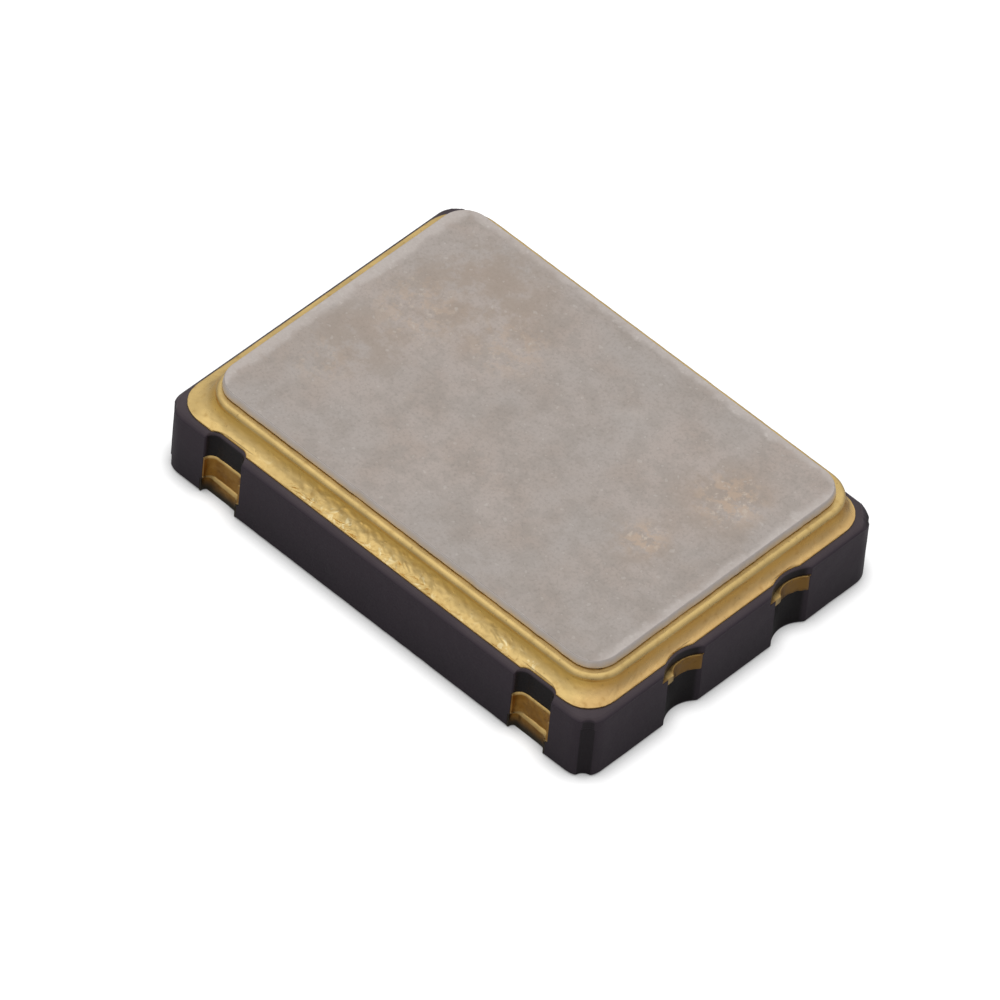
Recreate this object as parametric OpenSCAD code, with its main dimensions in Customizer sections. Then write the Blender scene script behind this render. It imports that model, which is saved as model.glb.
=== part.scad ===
// Surface-mount clock oscillator in a fired ceramic package with a seam-sealed metal lid.
// Millimetres. +X runs along the long side, +Z up, and the solder pads stand on z = 0.
// The body is four ceramic layers fired into one piece, with a stepped cavity that holds
// the circuit die at the bottom and the quartz blank above it.

/* [Ceramic body] */
// Length of the body
body_l = 7.0; // [6.8:0.1:7.6]
// Width of the body
body_w = 5.0; // [4.9:0.05:5.4]
// Radius of the body's four upright corners
corner_r = 0.31; // [0.3:0.01:0.45]
// Bevel that scoring leaves around the top edge
edge_bevel = 0.05; // [0.02:0.01:0.06]
// Bevel around the bottom edge
base_bevel = 0.02; // [0.01:0.01:0.04]
// Thickness of the base layer, which is the cavity's floor
base_layer_t = 0.22; // [0.16:0.01:0.3]
// Thickness of the second layer, which makes the die well
well_layer_t = 0.35; // [0.32:0.01:0.45]
// Thickness of the third layer, whose top carries the quartz blank
shelf_layer_t = 0.23; // [0.2:0.01:0.3]
// Thickness of the top layer, under the seal band
top_layer_t = 0.18; // [0.15:0.01:0.25]
// How far the prints, cavity and ring sit off the middle of the snapped body, along X
print_off_x = 0.04; // [0:0.01:0.06]
// How far the prints, cavity and ring sit off the middle of the snapped body, along Y
print_off_y = 0.08; // [0:0.01:0.08]

/* [Corner grooves] */
// Radius of the groove down each corner
corner_groove_r = 0.12; // [0.1:0.01:0.16]
// Depth of that groove in the lower layers
corner_groove_d = 0.055; // [0.03:0.005:0.06]
// Depth of that groove in the top layer
corner_groove_top_d = 0.02; // [0.01:0.005:0.03]

/* [Cavity] */
// Length of the opening in the top layer
opening_l = 5.5; // [5.3:0.05:5.6]
// Width of the opening in the top layer
opening_w = 3.5; // [3.4:0.05:3.6]
// Corner radius of the openings in the layers
opening_r = 0.2; // [0.15:0.01:0.25]
// Length of the shelf that carries the crystal contacts
contact_shelf_l = 0.8; // [0.7:0.05:0.85]
// Width of the bond shelf beside the die well
bond_shelf_w = 0.55; // [0.5:0.01:0.6]
// Room between the die and the wall of its well
well_gap = 0.33; // [0.25:0.01:0.36]

/* [Printed metal] */
// Thickness of the printed and plated pads, bands and traces
print_t = 0.02; // [0.015:0.005:0.03]
// Thickness of the plating that lines a castellation
lining_t = 0.025; // [0.02:0.005:0.035]
// Width of a buried trace and its bond finger
trace_w = 0.22; // [0.16:0.01:0.26]
// Radius of a plated via
via_r = 0.06; // [0.05:0.01:0.08]

/* [Solder terminals] */
// Distance between the terminals along X
pad_pitch = 5.08; // [5:0.02:5.1]
// Length of a solder pad along X
pad_l = 1.4; // [1.2:0.05:1.5]
// Depth of a solder pad from the long side inwards
pad_d = 1.15; // [1:0.05:1.4]
// Bare ceramic between a solder pad and the long side
pad_margin = 0.09; // [0.09:0.005:0.1]
// Width of a terminal's slot in the long side
slot_w = 0.61; // [0.5:0.01:0.7]
// Depth of that slot
slot_d = 0.14; // [0.12:0.005:0.14]
// How much less of it is left on the side that the prints are shifted towards
slot_short = 0.05; // [0.04:0.005:0.06]
// How far the base layer's slot sits off the one above it
slot_step = 0.03; // [0.02:0.005:0.04]

/* [Side contacts] */
// Distance between the two contacts on a short side
side_pitch = 1.84; // [1.7:0.02:2]
// Width of a contact's groove in the short side
scoop_w = 0.60; // [0.5:0.01:0.66]
// Depth of that groove
scoop_d = 0.13; // [0.12:0.005:0.13]
// How much less of it is left on the side that the prints are shifted away from
scoop_short = 0.09; // [0.085:0.005:0.09]
// How much wider the groove is in the top layer
scoop_rim = 0.12; // [0.08:0.01:0.16]
// How far the top layer's groove is shifted along the side
scoop_shift = 0.04; // [0.02:0.005:0.05]

/* [Seal band and ring] */
// Bare ceramic outside the seal band on the short sides
band_margin_x = 0.08; // [0.08:0.005:0.1]
// Bare ceramic outside the seal band on the long sides
band_margin_y = 0.095; // [0.08:0.005:0.1]
// How far the seal band is shifted towards -X
band_shift = 0.015; // [0:0.005:0.015]
// Corner radius of the seal band
band_r = 0.44; // [0.38:0.01:0.48]
// Cavity opening to the inner edge of the seal band
band_inset = 0.03; // [0.02:0.005:0.035]
// Bare ceramic between the seal band and a slot or groove
band_clear = 0.015; // [0.005:0.005:0.015]
// Ring wall to body edge on the short sides
ring_margin_x = 0.265; // [0.25:0.005:0.29]
// Ring wall to body edge on the long sides
ring_margin_y = 0.215; // [0.215:0.005:0.24]
// Height of the ring
ring_h = 0.28; // [0.24:0.01:0.32]
// Outer corner radius of the ring
ring_r = 0.45; // [0.4:0.01:0.48]
// Ring's inner wall to the cavity opening
ring_inset = 0.06; // [0.04:0.01:0.08]
// Bevel of the ring's upper outer edge
ring_bevel = 0.03; // [0.02:0.005:0.04]
// Height that the braze climbs up the ring
braze_h = 0.18; // [0.14:0.01:0.22]
// Seal band left bare outside the braze
braze_clear = 0.005; // [0.005:0.001:0.01]

/* [Lid] */
// Thickness of the lid
lid_t = 0.12; // [0.09:0.01:0.15]
// Ring left showing around the lid
lid_inset = 0.105; // [0.08:0.005:0.14]
// Corner radius of the lid
lid_r = 0.38; // [0.32:0.01:0.45]
// Bevel around the lid's top
lid_bevel = 0.03; // [0.02:0.005:0.06]

/* [Circuit die] */
// Length of the die
die_l = 1.7; // [1.5:0.05:1.75]
// Width of the die
die_w = 1.4; // [1.3:0.05:1.45]
// Thickness of the die
die_t = 0.20; // [0.15:0.01:0.22]
// Thickness of the die attach
attach_t = 0.02; // [0.015:0.005:0.03]
// How far the die attach squeezes out past the die
attach_lip = 0.03; // [0.02:0.01:0.05]
// How far the printed die pad reaches past the die
die_pad_lip = 0.1; // [0.06:0.01:0.15]
// Side of a bond pad on the die
bond_pad = 0.09; // [0.08:0.005:0.1]
// Middle of the die to the bond pads along its length
pad_spread_x = 0.51; // [0.42:0.01:0.53]
// Middle of the die to the bond pads along its width
pad_spread_y = 0.35; // [0.25:0.01:0.38]
// Thickness of a bond pad and of the crystal's electrodes
film_t = 0.01; // [0.008:0.001:0.012]

/* [Bond wires] */
// Radius of a bond wire
wire_r = 0.015; // [0.0125:0.0005:0.018]
// How far a wire bows above a straight line between its ends
wire_bow = 0.09; // [0.07:0.01:0.12]
// Radius of the ball on the die
ball_r = 0.04; // [0.035:0.001:0.045]
// Height of the ball
ball_h = 0.025; // [0.02:0.001:0.03]
// Length of the foot pressed onto the finger
wire_foot_l = 0.06; // [0.05:0.005:0.08]
// Width of that foot
wire_foot_w = 0.045; // [0.04:0.005:0.06]
// Height of that foot
wire_foot_h = 0.015; // [0.012:0.001:0.018]

/* [Crystal] */
// Opening left past the quartz blank's fixed end
fixed_end_gap = 0.3; // [0.28:0.01:0.35]
// Opening left past its free end
free_end_gap = 0.6; // [0.55:0.01:0.65]
// Width of the quartz blank
blank_w = 1.9; // [1.7:0.05:2.1]
// Thickness of the quartz blank
blank_t = 0.08; // [0.06:0.01:0.1]
// Height of the blank above its contacts
glue_t = 0.04; // [0.03:0.005:0.05]
// Length of an electrode
electrode_l = 2.6; // [2.2:0.1:2.8]
// Width of an electrode
electrode_w = 1.3; // [1.1:0.05:1.5]
// Width of the electrode's tab
tab_w = 0.4; // [0.3:0.01:0.45]
// Radius of a bead of conductive glue at its foot
bead_r = 0.26; // [0.24:0.01:0.28]
// Height of the bead
bead_h = 0.15; // [0.14:0.005:0.16]
// Distance between the two crystal contacts
contact_pitch = 1.1; // [1.05:0.01:1.2]
// Width of a crystal contact pad
contact_w = 0.6; // [0.57:0.01:0.7]
// Width of the rest bar under the free end
bar_w = 0.15; // [0.12:0.01:0.18]
// Gap between the rest bar and the blank
bar_gap = 0.02; // [0.015:0.005:0.03]

/* [Hidden] */

$fn = 64;
// How far a cutting shape runs past the faces that it cuts
past = 0.1;
// Facets in each corner of the braze, steps up its slope, and how it steepens towards the ring
braze_facets = 10;
braze_steps = 8;
braze_power = 2.2;
// Edge of a well to the end of a bond finger
finger_end = 0.15;
// How far the shelf reaches under the blank's free end
free_shelf = 0.2;
// Edge of the crystal contact shelf to a crystal contact pad
contact_lip = 0.04;
// Edge of the blank to the rest bar under it
bar_inset = 0.03;
// Edge of the die to a bond pad on it
bond_pad_edge = 0.05;
// How far a trace runs into the plating of the groove that it meets
trace_seat = 0.018;

body_x = body_l / 2;
body_y = body_w / 2;
opening_x = opening_l / 2;
opening_y = opening_w / 2;
ring_x = body_x - ring_margin_x;
ring_y = body_y - ring_margin_y;
// Foot of the braze: its reach towards -X, +X, -Y and +Y
foot_x0 = body_x - max(scoop_d - scoop_short + band_clear, band_margin_x - band_shift) - braze_clear;
foot_x1 = body_x - max(scoop_d + band_clear, band_margin_x + band_shift) - braze_clear;
foot_y0 = body_y - max(slot_d + band_clear, band_margin_y) - braze_clear;
foot_y1 = body_y - max(slot_d - slot_short + band_clear, band_margin_y) - braze_clear;

// Heights, from the underside of the solder pads
z_body = print_t;
z_floor = z_body + base_layer_t;
z_bond = z_floor + well_layer_t;
z_shelf = z_bond + shelf_layer_t;
z_rim = z_shelf + top_layer_t;
z_band = z_rim + print_t;
z_ring = z_band + ring_h;
z_die = z_floor + print_t + attach_t + die_t;
z_blank = z_shelf + print_t + glue_t;

// Half sizes of the die well and of the bond shelf around it
well_x = die_l / 2 + well_gap;
well_y = die_w / 2 + well_gap;
bond_y = well_y + bond_shelf_w;
// Middles of the bond fingers' ends
finger_x = well_x + finger_end + trace_w / 2;
finger_y = well_y + finger_end + trace_w / 2;
// Fixed and free ends of the blank, and of the third layer's opening below it
blank_0 = -opening_x + fixed_end_gap;
blank_1 = opening_x - free_end_gap;
shelf_0 = -opening_x + contact_shelf_l;
shelf_1 = blank_1 - free_shelf;
// Bond pads on the die: how far out its long-side four and its end four stand
pad_edge_x = die_l / 2 - bond_pad_edge - bond_pad / 2;
pad_edge_y = die_w / 2 - bond_pad_edge - bond_pad / 2;

// Sides of the body that terminal i (0 to 3, anticlockwise from -X -Y) stands at
function terminal_side(i) = [(i == 0 || i == 3) ? -1 : 1, i < 2 ? -1 : 1];

// Both ends of bond wire i, from the middle of the cavity: its pad on the die and its finger.
// Wires 0 to 3 serve the terminals, 4 and 5 the side contacts, 6 and 7 the crystal.
function end_side(i) = [i < 6 ? 1 : -1, i % 2 == 0 ? -1 : 1];
function wire_pad(i) = i < 4
    ? [terminal_side(i).x * pad_spread_x, terminal_side(i).y * pad_edge_y]
    : [end_side(i).x * pad_edge_x, end_side(i).y * pad_spread_y];
function wire_finger(i) = i < 4
    ? [terminal_side(i).x * pad_spread_x, terminal_side(i).y * finger_y]
    : [end_side(i).x * finger_x, end_side(i).y * (i < 6 ? side_pitch : contact_pitch) / 2];

// Flat shapes

module rounded(x, y, r) {
    square([2 * x, 2 * (y - r)], center = true);
    square([2 * (x - r), 2 * y], center = true);
    for (i = [-1, 1], j = [-1, 1])
        translate([i * (x - r), j * (y - r)])
            circle(r);
}

// A slot with round ends of radius d, halved by the edge that it opens through
module oblong(w, d) {
    square([w - 2 * d, 2 * d], center = true);
    for (i = [-1, 1])
        translate([i * (w / 2 - d), 0])
            circle(d);
}

// A shallow round groove of width w and depth d in an edge along X, drawn smaller by inset
module scoop(w, d, inset = 0) {
    r = (w * w / 4 + d * d) / (2 * d);
    translate([0, d - r])
        circle(r - inset);
}

// A path of straight strips of width w along X and Y
module strip(points, w)
    for (i = [1:len(points) - 1]) {
        span = points[i] - points[i - 1];
        translate((points[i] + points[i - 1]) / 2)
            square([abs(span.x) + w, abs(span.y) + w], center = true);
    }

// Solid shapes

module slab(z0, z1)
    translate([0, 0, z0])
        linear_extrude(z1 - z0)
            children();

// Right-hand edge of a plate seen from the side: its reach from the middle against its height
function edge_profile(reach, z0, z1, top, bottom) = concat(
    bottom > 0 ? [[reach - bottom, z0], [reach, z0 + bottom]] : [[reach, z0]],
    [[reach, z1 - top], [reach - top, z1]]
);

module plate_prism(x, length, z0, z1, top, bottom) {
    right = edge_profile(x, z0, z1, top, bottom);
    left = [for (k = [len(right) - 1:-1:0]) [-right[k].x, right[k].y]];
    rotate([90, 0, 0])
        linear_extrude(length, center = true)
            polygon(concat(right, left));
}

// A rounded plate from z0 to z1 with a 45 degree bevel around its top and its bottom
module bevelled_plate(x, y, r, z0, z1, top, bottom = 0) {
    plate_prism(x, 2 * (y - r), z0, z1, top, bottom);
    rotate([0, 0, 90])
        plate_prism(y, 2 * (x - r), z0, z1, top, bottom);
    for (i = [-1, 1], j = [-1, 1])
        translate([i * (x - r), j * (y - r), 0])
            rotate_extrude()
                polygon(concat([[0, z0]], edge_profile(r, z0, z1, top, bottom), [[0, z1]]));
}

// The cavity and what is printed or mounted with it sits a little off the body's middle
module on_print()
    translate([print_off_x, print_off_y, 0])
        children();

// Puts a child at terminal i, with the body's long side along X and its outside towards -Y
module at_terminal(i)
    translate([print_off_x + terminal_side(i).x * pad_pitch / 2, i < 2 ? -body_y : body_y + slot_short, 0])
        mirror([0, i < 2 ? 0 : 1, 0])
            children();

// Puts a child at short-side groove i, with the outside towards -Y: 0 and 1 are on the +X side
module at_scoop(i) {
    side = i < 2 ? 1 : -1;
    face = i < 2 ? body_x : -body_x - scoop_short;
    translate([face, print_off_y + (i % 2 - 0.5) * side_pitch, 0])
        rotate([0, 0, side * 90])
            children();
}

// Ceramic

module body_block()
    bevelled_plate(body_x, body_y, corner_r, z_body, z_rim, edge_bevel, base_bevel);

module corner_grooves(z0, z1, depth)
    for (i = [-1, 1], j = [-1, 1])
        translate([i * (body_x - corner_r), j * (body_y - corner_r), 0])
            rotate([0, 0, atan2(j, i)])
                translate([corner_r + corner_groove_r - depth, 0, z0])
                    cylinder(h = z1 - z0, r = corner_groove_r);

// A terminal's slot: the base layer's part is shallower and stands to one side
module slot_cut() {
    slab(z_floor, z_rim + past)
        oblong(slot_w, slot_d);
    slab(z_body - past, z_floor)
        translate([-slot_step, 0])
            oblong(slot_w, slot_d - slot_step);
}

// A short side's groove: the top layer's part is wider and stands to one side
module scoop_cut() {
    slab(z_body - past, z_shelf)
        scoop(scoop_w, scoop_d);
    slab(z_shelf, z_rim + past)
        translate([-scoop_shift, 0])
            scoop(scoop_w + scoop_rim, scoop_d);
}

// Die well, bond shelf opening and top opening, one above the other
module cavity() {
    slab(z_floor, z_bond + past)
        rounded(well_x, well_y, opening_r);
    slab(z_bond, z_shelf + past)
        translate([(shelf_0 + shelf_1) / 2, 0])
            rounded((shelf_1 - shelf_0) / 2, bond_y, opening_r);
    slab(z_shelf, z_rim + past)
        rounded(opening_x, opening_y, opening_r);
}

module ceramic_body()
    color([0.21, 0.19, 0.20])
        difference() {
            body_block();
            corner_grooves(z_body - past, z_shelf, corner_groove_d);
            corner_grooves(z_shelf, z_rim + past, corner_groove_top_d);
            for (i = [0:3]) {
                at_terminal(i)
                    slot_cut();
                at_scoop(i)
                    scoop_cut();
                terminal_trace(i);
            }
            for (i = [0:1]) {
                side_trace(i);
                crystal_trace(i);
            }
            on_print()
                cavity();
            ground_via();
        }

// Terminals and contacts

// From a terminal's slot to its bond finger on the long side of the bond shelf
module terminal_trace(i) {
    side = terminal_side(i);
    slot_x = print_off_x + side.x * pad_pitch / 2;
    slot_y = i < 2 ? slot_d - body_y : body_y + slot_short - slot_d;
    run_y = print_off_y + side.y * (opening_y + trace_w / 2);
    tip = wire_finger(i) + [print_off_x, print_off_y];
    slab(z_bond, z_bond + print_t)
        strip([
            [slot_x, slot_y - side.y * trace_w / 2],
            [slot_x, run_y],
            [tip.x, run_y],
            tip
        ], trace_w);
}

// Plating on the walls of a slot, with a ledge where the base layer steps in
module slot_lining() {
    slab(z_floor, z_bond + print_t)
        difference() {
            oblong(slot_w, slot_d);
            oblong(slot_w - 2 * lining_t, slot_d - lining_t);
        }
    slab(z_floor, z_floor + lining_t)
        difference() {
            oblong(slot_w, slot_d);
            base_slot_inside();
        }
    slab(z_body, z_floor)
        difference() {
            translate([-slot_step, 0])
                oblong(slot_w, slot_d - slot_step);
            base_slot_inside();
        }
}

module base_slot_inside()
    translate([-slot_step, 0])
        oblong(slot_w - 2 * lining_t, slot_d - slot_step - lining_t);

module solder_pad()
    slab(0, z_body)
        difference() {
            translate([-pad_l / 2, pad_margin])
                square([pad_l, pad_d - pad_margin]);
            base_slot_inside();
        }

module terminal(i)
    color([0.80, 0.66, 0.38]) {
        at_terminal(i)
            solder_pad();
        intersection() {
            at_terminal(i)
                slot_lining();
            body_block();
        }
        terminal_trace(i);
    }

// Plating on a short side's groove: the third layer's wall, and the ledge on top of that layer
module scoop_lining() {
    slab(z_bond, z_shelf)
        difference() {
            scoop(scoop_w, scoop_d);
            scoop(scoop_w, scoop_d, lining_t);
        }
    slab(z_shelf, z_shelf + print_t)
        difference() {
            translate([-scoop_shift, 0])
                scoop(scoop_w + scoop_rim, scoop_d);
            scoop(scoop_w, scoop_d, lining_t);
        }
}

module groove_lining(i)
    intersection() {
        at_scoop(i)
            scoop_lining();
        body_block();
    }

// Where a trace meets the lining of the groove on the side (-1 or 1) that it comes from
function groove_end(side, y) =
    let (depth = side < 0 ? scoop_d - scoop_short : scoop_d)
        [side * (body_x - depth + trace_seat - trace_w / 2), print_off_y + y];

module side_trace(i) {
    tip = wire_finger(i + 4);
    slab(z_bond, z_bond + print_t)
        strip([groove_end(1, tip.y), tip + [print_off_x, print_off_y]], trace_w);
}

module side_contact(i)
    color([0.80, 0.66, 0.38]) {
        groove_lining(i);
        side_trace(i);
    }

// The print on the crystal shelf, and the via and bond finger that lead down from it
module crystal_trace(i) {
    tip = wire_finger(i + 6);
    groove_y = sign(tip.y) * side_pitch / 2;
    pad_x = (shelf_0 - opening_x) / 2;
    slab(z_shelf, z_shelf + print_t) {
        strip([groove_end(-1, groove_y), [pad_x + print_off_x, groove_y + print_off_y]], trace_w);
        on_print() {
            strip([[pad_x, groove_y], [pad_x, tip.y]], trace_w);
            translate([pad_x, tip.y])
                square([contact_shelf_l - 2 * contact_lip, contact_w], center = true);
        }
    }
    on_print() {
        translate([pad_x, tip.y, z_bond])
            cylinder(h = shelf_layer_t + print_t, r = via_r);
        slab(z_bond, z_bond + print_t)
            strip([[pad_x, tip.y], tip], trace_w);
    }
}

module crystal_contact(i)
    color([0.80, 0.66, 0.38]) {
        groove_lining(i == 0 ? 2 : 3);
        crystal_trace(i);
    }

// Seal

module ground_via() {
    slot_x = print_off_x + pad_pitch / 2;
    translate([slot_x, -(body_y - slot_d - trace_w / 2), z_bond + print_t])
        cylinder(h = z_rim - z_bond - print_t, r = via_r);
}

// The printed band under the ring, cut back from the slots and grooves
module seal_band()
    color([0.82, 0.70, 0.45]) {
        slab(z_rim, z_band)
            difference() {
                translate([-band_shift, 0])
                    rounded(body_x - band_margin_x, body_y - band_margin_y, band_r);
                on_print()
                    rounded(opening_x + band_inset, opening_y + band_inset, opening_r + band_inset);
                for (i = [0:3]) {
                    at_terminal(i)
                        oblong(slot_w + 2 * band_clear, slot_d + band_clear);
                    at_scoop(i)
                        translate([-scoop_shift, 0])
                            scoop(scoop_w + scoop_rim, scoop_d, -band_clear);
                }
            }
        ground_via();
    }

// Points around a rounded rectangle whose corner facets touch the true arc from outside
function loop(x, y, r) = [
    for (c = [[1, 1, 0], [-1, 1, 90], [-1, -1, 180], [1, -1, 270]], k = [0:braze_facets - 1])
        let (a = c[2] + (k + 0.5) * 90 / braze_facets, reach = r / cos(45 / braze_facets))
            [c[0] * (x - r) + reach * cos(a), c[1] * (y - r) + reach * sin(a)]
];

// The braze climbs from the band to the ring's wall in a hollow curve
module braze_fillet()
    color([0.80, 0.66, 0.38]) {
        foot_mid = [foot_x1 - foot_x0, foot_y1 - foot_y0] / 2;
        foot = [for (p = loop((foot_x0 + foot_x1) / 2, (foot_y0 + foot_y1) / 2, ring_r)) p + foot_mid];
        wall = [for (p = loop(ring_x, ring_y, ring_r)) p + [print_off_x, print_off_y]];
        slope = [for (j = [0:braze_steps]) j / braze_steps];
        count = len(foot);
        rows = len(slope) + 1;
        points = concat(
            [for (s = slope, i = [0:count - 1])
                let (p = foot[i] * (1 - s) + wall[i] * s)
                    [p.x, p.y, z_band + braze_h * pow(s, braze_power)]],
            [for (p = wall) [p.x, p.y, z_band]]
        );
        faces = [
            for (j = [0:rows - 1], i = [0:count - 1])
                let (j2 = (j + 1) % rows, i2 = (i + 1) % count)
                    each [
                        [j * count + i, j2 * count + i, j2 * count + i2],
                        [j * count + i, j2 * count + i2, j * count + i2]
                    ]
        ];
        polyhedron(points, faces);
    }

module seam_ring()
    color([0.84, 0.71, 0.44])
        on_print()
            difference() {
                bevelled_plate(ring_x, ring_y, ring_r, z_band, z_ring, ring_bevel);
                slab(z_band - past, z_ring + past)
                    rounded(opening_x + ring_inset, opening_y + ring_inset, opening_r + ring_inset);
            }

module lid()
    color([0.67, 0.64, 0.60])
        on_print()
            bevelled_plate(ring_x - lid_inset, ring_y - lid_inset, lid_r, z_ring, z_ring + lid_t, lid_bevel);

// Circuit die and its wires

module die_pad()
    color([0.80, 0.66, 0.38])
        on_print()
            slab(z_floor, z_floor + print_t)
                square([die_l + 2 * die_pad_lip, die_w + 2 * die_pad_lip], center = true);

module die_attach()
    color([0.75, 0.75, 0.74])
        on_print()
            slab(z_floor + print_t, z_floor + print_t + attach_t)
                rounded(die_l / 2 + attach_lip, die_w / 2 + attach_lip, attach_lip);

module oscillator_die()
    color([0.35, 0.38, 0.42])
        on_print()
            slab(z_die - die_t, z_die)
                square([die_l, die_w], center = true);

module die_bond_pads()
    color([0.80, 0.80, 0.82])
        on_print()
            slab(z_die, z_die + film_t)
                for (i = [0:7])
                    translate(wire_pad(i))
                        square(bond_pad, center = true);

// A round wire bowed upwards between two points
module arc_wire(start, end, bow) {
    span = end - start;
    chord = norm(span);
    r = (chord * chord / 4 + bow * bow) / (2 * bow);
    half = asin(chord / (2 * r));
    translate(start)
        rotate([0, -asin(span.z / chord), atan2(span.y, span.x)])
            translate([chord / 2, 0, bow - r])
                rotate([90, 0, 0])
                    rotate([0, 0, 90 - half])
                        rotate_extrude(angle = 2 * half)
                            translate([r, 0])
                                circle(wire_r, $fn = 24);
}

// A bond wire: the ball on the die, the bowed wire, and the foot pressed onto the finger
module bond_wire(i) {
    pad = [wire_pad(i).x, wire_pad(i).y, z_die + film_t];
    finger = [wire_finger(i).x, wire_finger(i).y, z_bond + print_t];
    heading = atan2(finger.y - pad.y, finger.x - pad.x);
    color([0.85, 0.70, 0.35])
        on_print() {
            translate(pad)
                cylinder(h = ball_h, r = ball_r);
            arc_wire(pad + [0, 0, wire_r], finger + [0, 0, wire_r], wire_bow);
            translate(finger)
                rotate([0, 0, heading])
                    translate([0, 0, wire_foot_h / 2])
                        cube([wire_foot_l, wire_foot_w, wire_foot_h], center = true);
        }
}

// Crystal

module blank_block()
    slab(z_blank, z_blank + blank_t)
        translate([blank_0, -blank_w / 2])
            square([blank_1 - blank_0, blank_w]);

module quartz_blank()
    color([0.85, 0.88, 0.90, 0.6])
        on_print()
            blank_block();

// An electrode from z0 up, with its tab running to the fixed end on one side (-1 or 1)
module electrode(z0, side)
    slab(z0, z0 + film_t) {
        translate([(blank_0 + blank_1) / 2, 0])
            rounded(electrode_l / 2, electrode_w / 2, opening_r);
        translate([blank_0, side * (electrode_w - tab_w) / 2 - tab_w / 2])
            square([(blank_1 - blank_0) / 2, tab_w]);
    }

module top_film()
    electrode(z_blank + blank_t, 1);

module bottom_film()
    electrode(z_blank - film_t, -1);

module electrode_top()
    color([0.85, 0.85, 0.86])
        on_print()
            top_film();

module electrode_bottom()
    color([0.85, 0.85, 0.86])
        on_print()
            bottom_film();

// A bead of conductive glue that holds one corner of the blank on its contact
module glue_bead(i) {
    r = (bead_r * bead_r + bead_h * bead_h) / (2 * bead_h);
    foot = z_shelf + print_t;
    color([0.62, 0.62, 0.60])
        on_print()
            difference() {
                intersection() {
                    translate([blank_0, (i - 0.5) * contact_pitch, foot + bead_h - r])
                        sphere(r);
                    translate([blank_0 - bead_r - past, -body_y, foot])
                        cube([2 * (bead_r + past), body_w, bead_h + past]);
                }
                blank_block();
                top_film();
                bottom_film();
            }
}

module rest_bar()
    color([0.30, 0.28, 0.28])
        on_print()
            slab(z_shelf, z_blank - bar_gap)
                translate([blank_1 - bar_inset - bar_w, -blank_w / 2])
                    square([bar_w, blank_w]);

ceramic_body();
seal_band();
braze_fillet();
seam_ring();
lid();
for (i = [0:3])
    terminal(i);
for (i = [0:1])
    side_contact(i);
for (i = [0:1])
    crystal_contact(i);
die_pad();
die_attach();
oscillator_die();
die_bond_pads();
for (i = [0:7])
    bond_wire(i);
rest_bar();
quartz_blank();
electrode_top();
electrode_bottom();
for (i = [0:1])
    glue_bead(i);
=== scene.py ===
import math

import bpy
import numpy as np
from mathutils import Matrix, Vector


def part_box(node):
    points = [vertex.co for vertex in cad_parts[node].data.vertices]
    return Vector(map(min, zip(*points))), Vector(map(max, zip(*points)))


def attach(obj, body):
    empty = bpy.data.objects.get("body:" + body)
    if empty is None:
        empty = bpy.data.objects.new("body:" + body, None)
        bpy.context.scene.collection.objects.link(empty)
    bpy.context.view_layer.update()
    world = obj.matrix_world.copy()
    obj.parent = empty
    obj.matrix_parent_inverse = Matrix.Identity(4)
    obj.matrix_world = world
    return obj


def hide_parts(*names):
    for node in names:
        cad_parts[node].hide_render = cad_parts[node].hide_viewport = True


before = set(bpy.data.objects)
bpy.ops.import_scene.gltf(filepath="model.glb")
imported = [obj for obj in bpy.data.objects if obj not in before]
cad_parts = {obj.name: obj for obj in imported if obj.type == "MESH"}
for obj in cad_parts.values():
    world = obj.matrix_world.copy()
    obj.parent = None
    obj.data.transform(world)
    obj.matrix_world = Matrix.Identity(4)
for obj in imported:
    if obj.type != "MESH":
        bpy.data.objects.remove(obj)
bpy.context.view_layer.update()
print("frame loaded,", len(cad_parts), "nodes")

mm = 0.001  # metres in a millimetre: shapes are worked out in millimetres, meshes hold metres


def boxOf(node):
    low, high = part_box(node)
    return np.array(low) / mm, np.array(high) / mm


# Places taken from the frame
bodyLow, bodyHigh = boxOf("ceramic_body")
bandLow, bandHigh = boxOf("seal_band")
ringLow, ringHigh = boxOf("seam_ring")
lidLow, lidHigh = boxOf("lid")
brazeLow, brazeHigh = boxOf("braze_fillet")
printX, printY = (ringLow[:2] + ringHigh[:2]) / 2
zRim = bodyHigh[2]
zBand = bandHigh[2]

# Thickness of the package's lower layers, and the heights of their upper faces
thickness = {"base": 0.22, "well": 0.35, "shelf": 0.23}
zFloor = bodyLow[2] + thickness["base"]
zBond = zFloor + thickness["well"]
zShelf = zBond + thickness["shelf"]

# Slots and round grooves (scoops) in the package's sides. In the base layer a slot is shallower by its step
# and lies as far to one side. In the top layer a scoop is wider by its rim and lies a shift to one side.
# The short values say how much shallower they are on the far sides.
notches = {
    "slotWidth": 0.61, "slotDepth": 0.14, "slotStep": 0.03, "slotShort": 0.05, "slotPitch": 5.08,
    "scoopWidth": 0.60, "scoopDepth": 0.13, "scoopRim": 0.12, "scoopShift": 0.04, "scoopShort": 0.105,
    "scoopPitch": 1.84,
    "cornerRadius": 0.31, "grooveRadius": 0.12, "grooveDepth": 0.060, "grooveTopDepth": 0.045,
    "grooveShares": (0.35, 0.6, 0.8, 1.0),  # how deep each corner's groove is, from +X +Y anticlockwise
    "mouth": 0.006,  # how far in from the side's face a notch's plating starts
}

# How closely the stations round a skin lie at the ends of the notches, in millimetres, and in the corners,
# in degrees
grid = {
    "slotTurn": 12, "slotLip": (0.003, 0.01, 0.02), "scoopLip": 0.03, "scoopStations": 9,
    "least": 0.0016, "cornerGap": 0.002,
    "grooveFrom": 29, "grooveTo": 61, "grooveStations": 26, "bendGap": 2, "bendLength": 0.2, "bendLeast": 6,
}

ringRadius = 0.45  # outer corners of the seam ring


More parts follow.
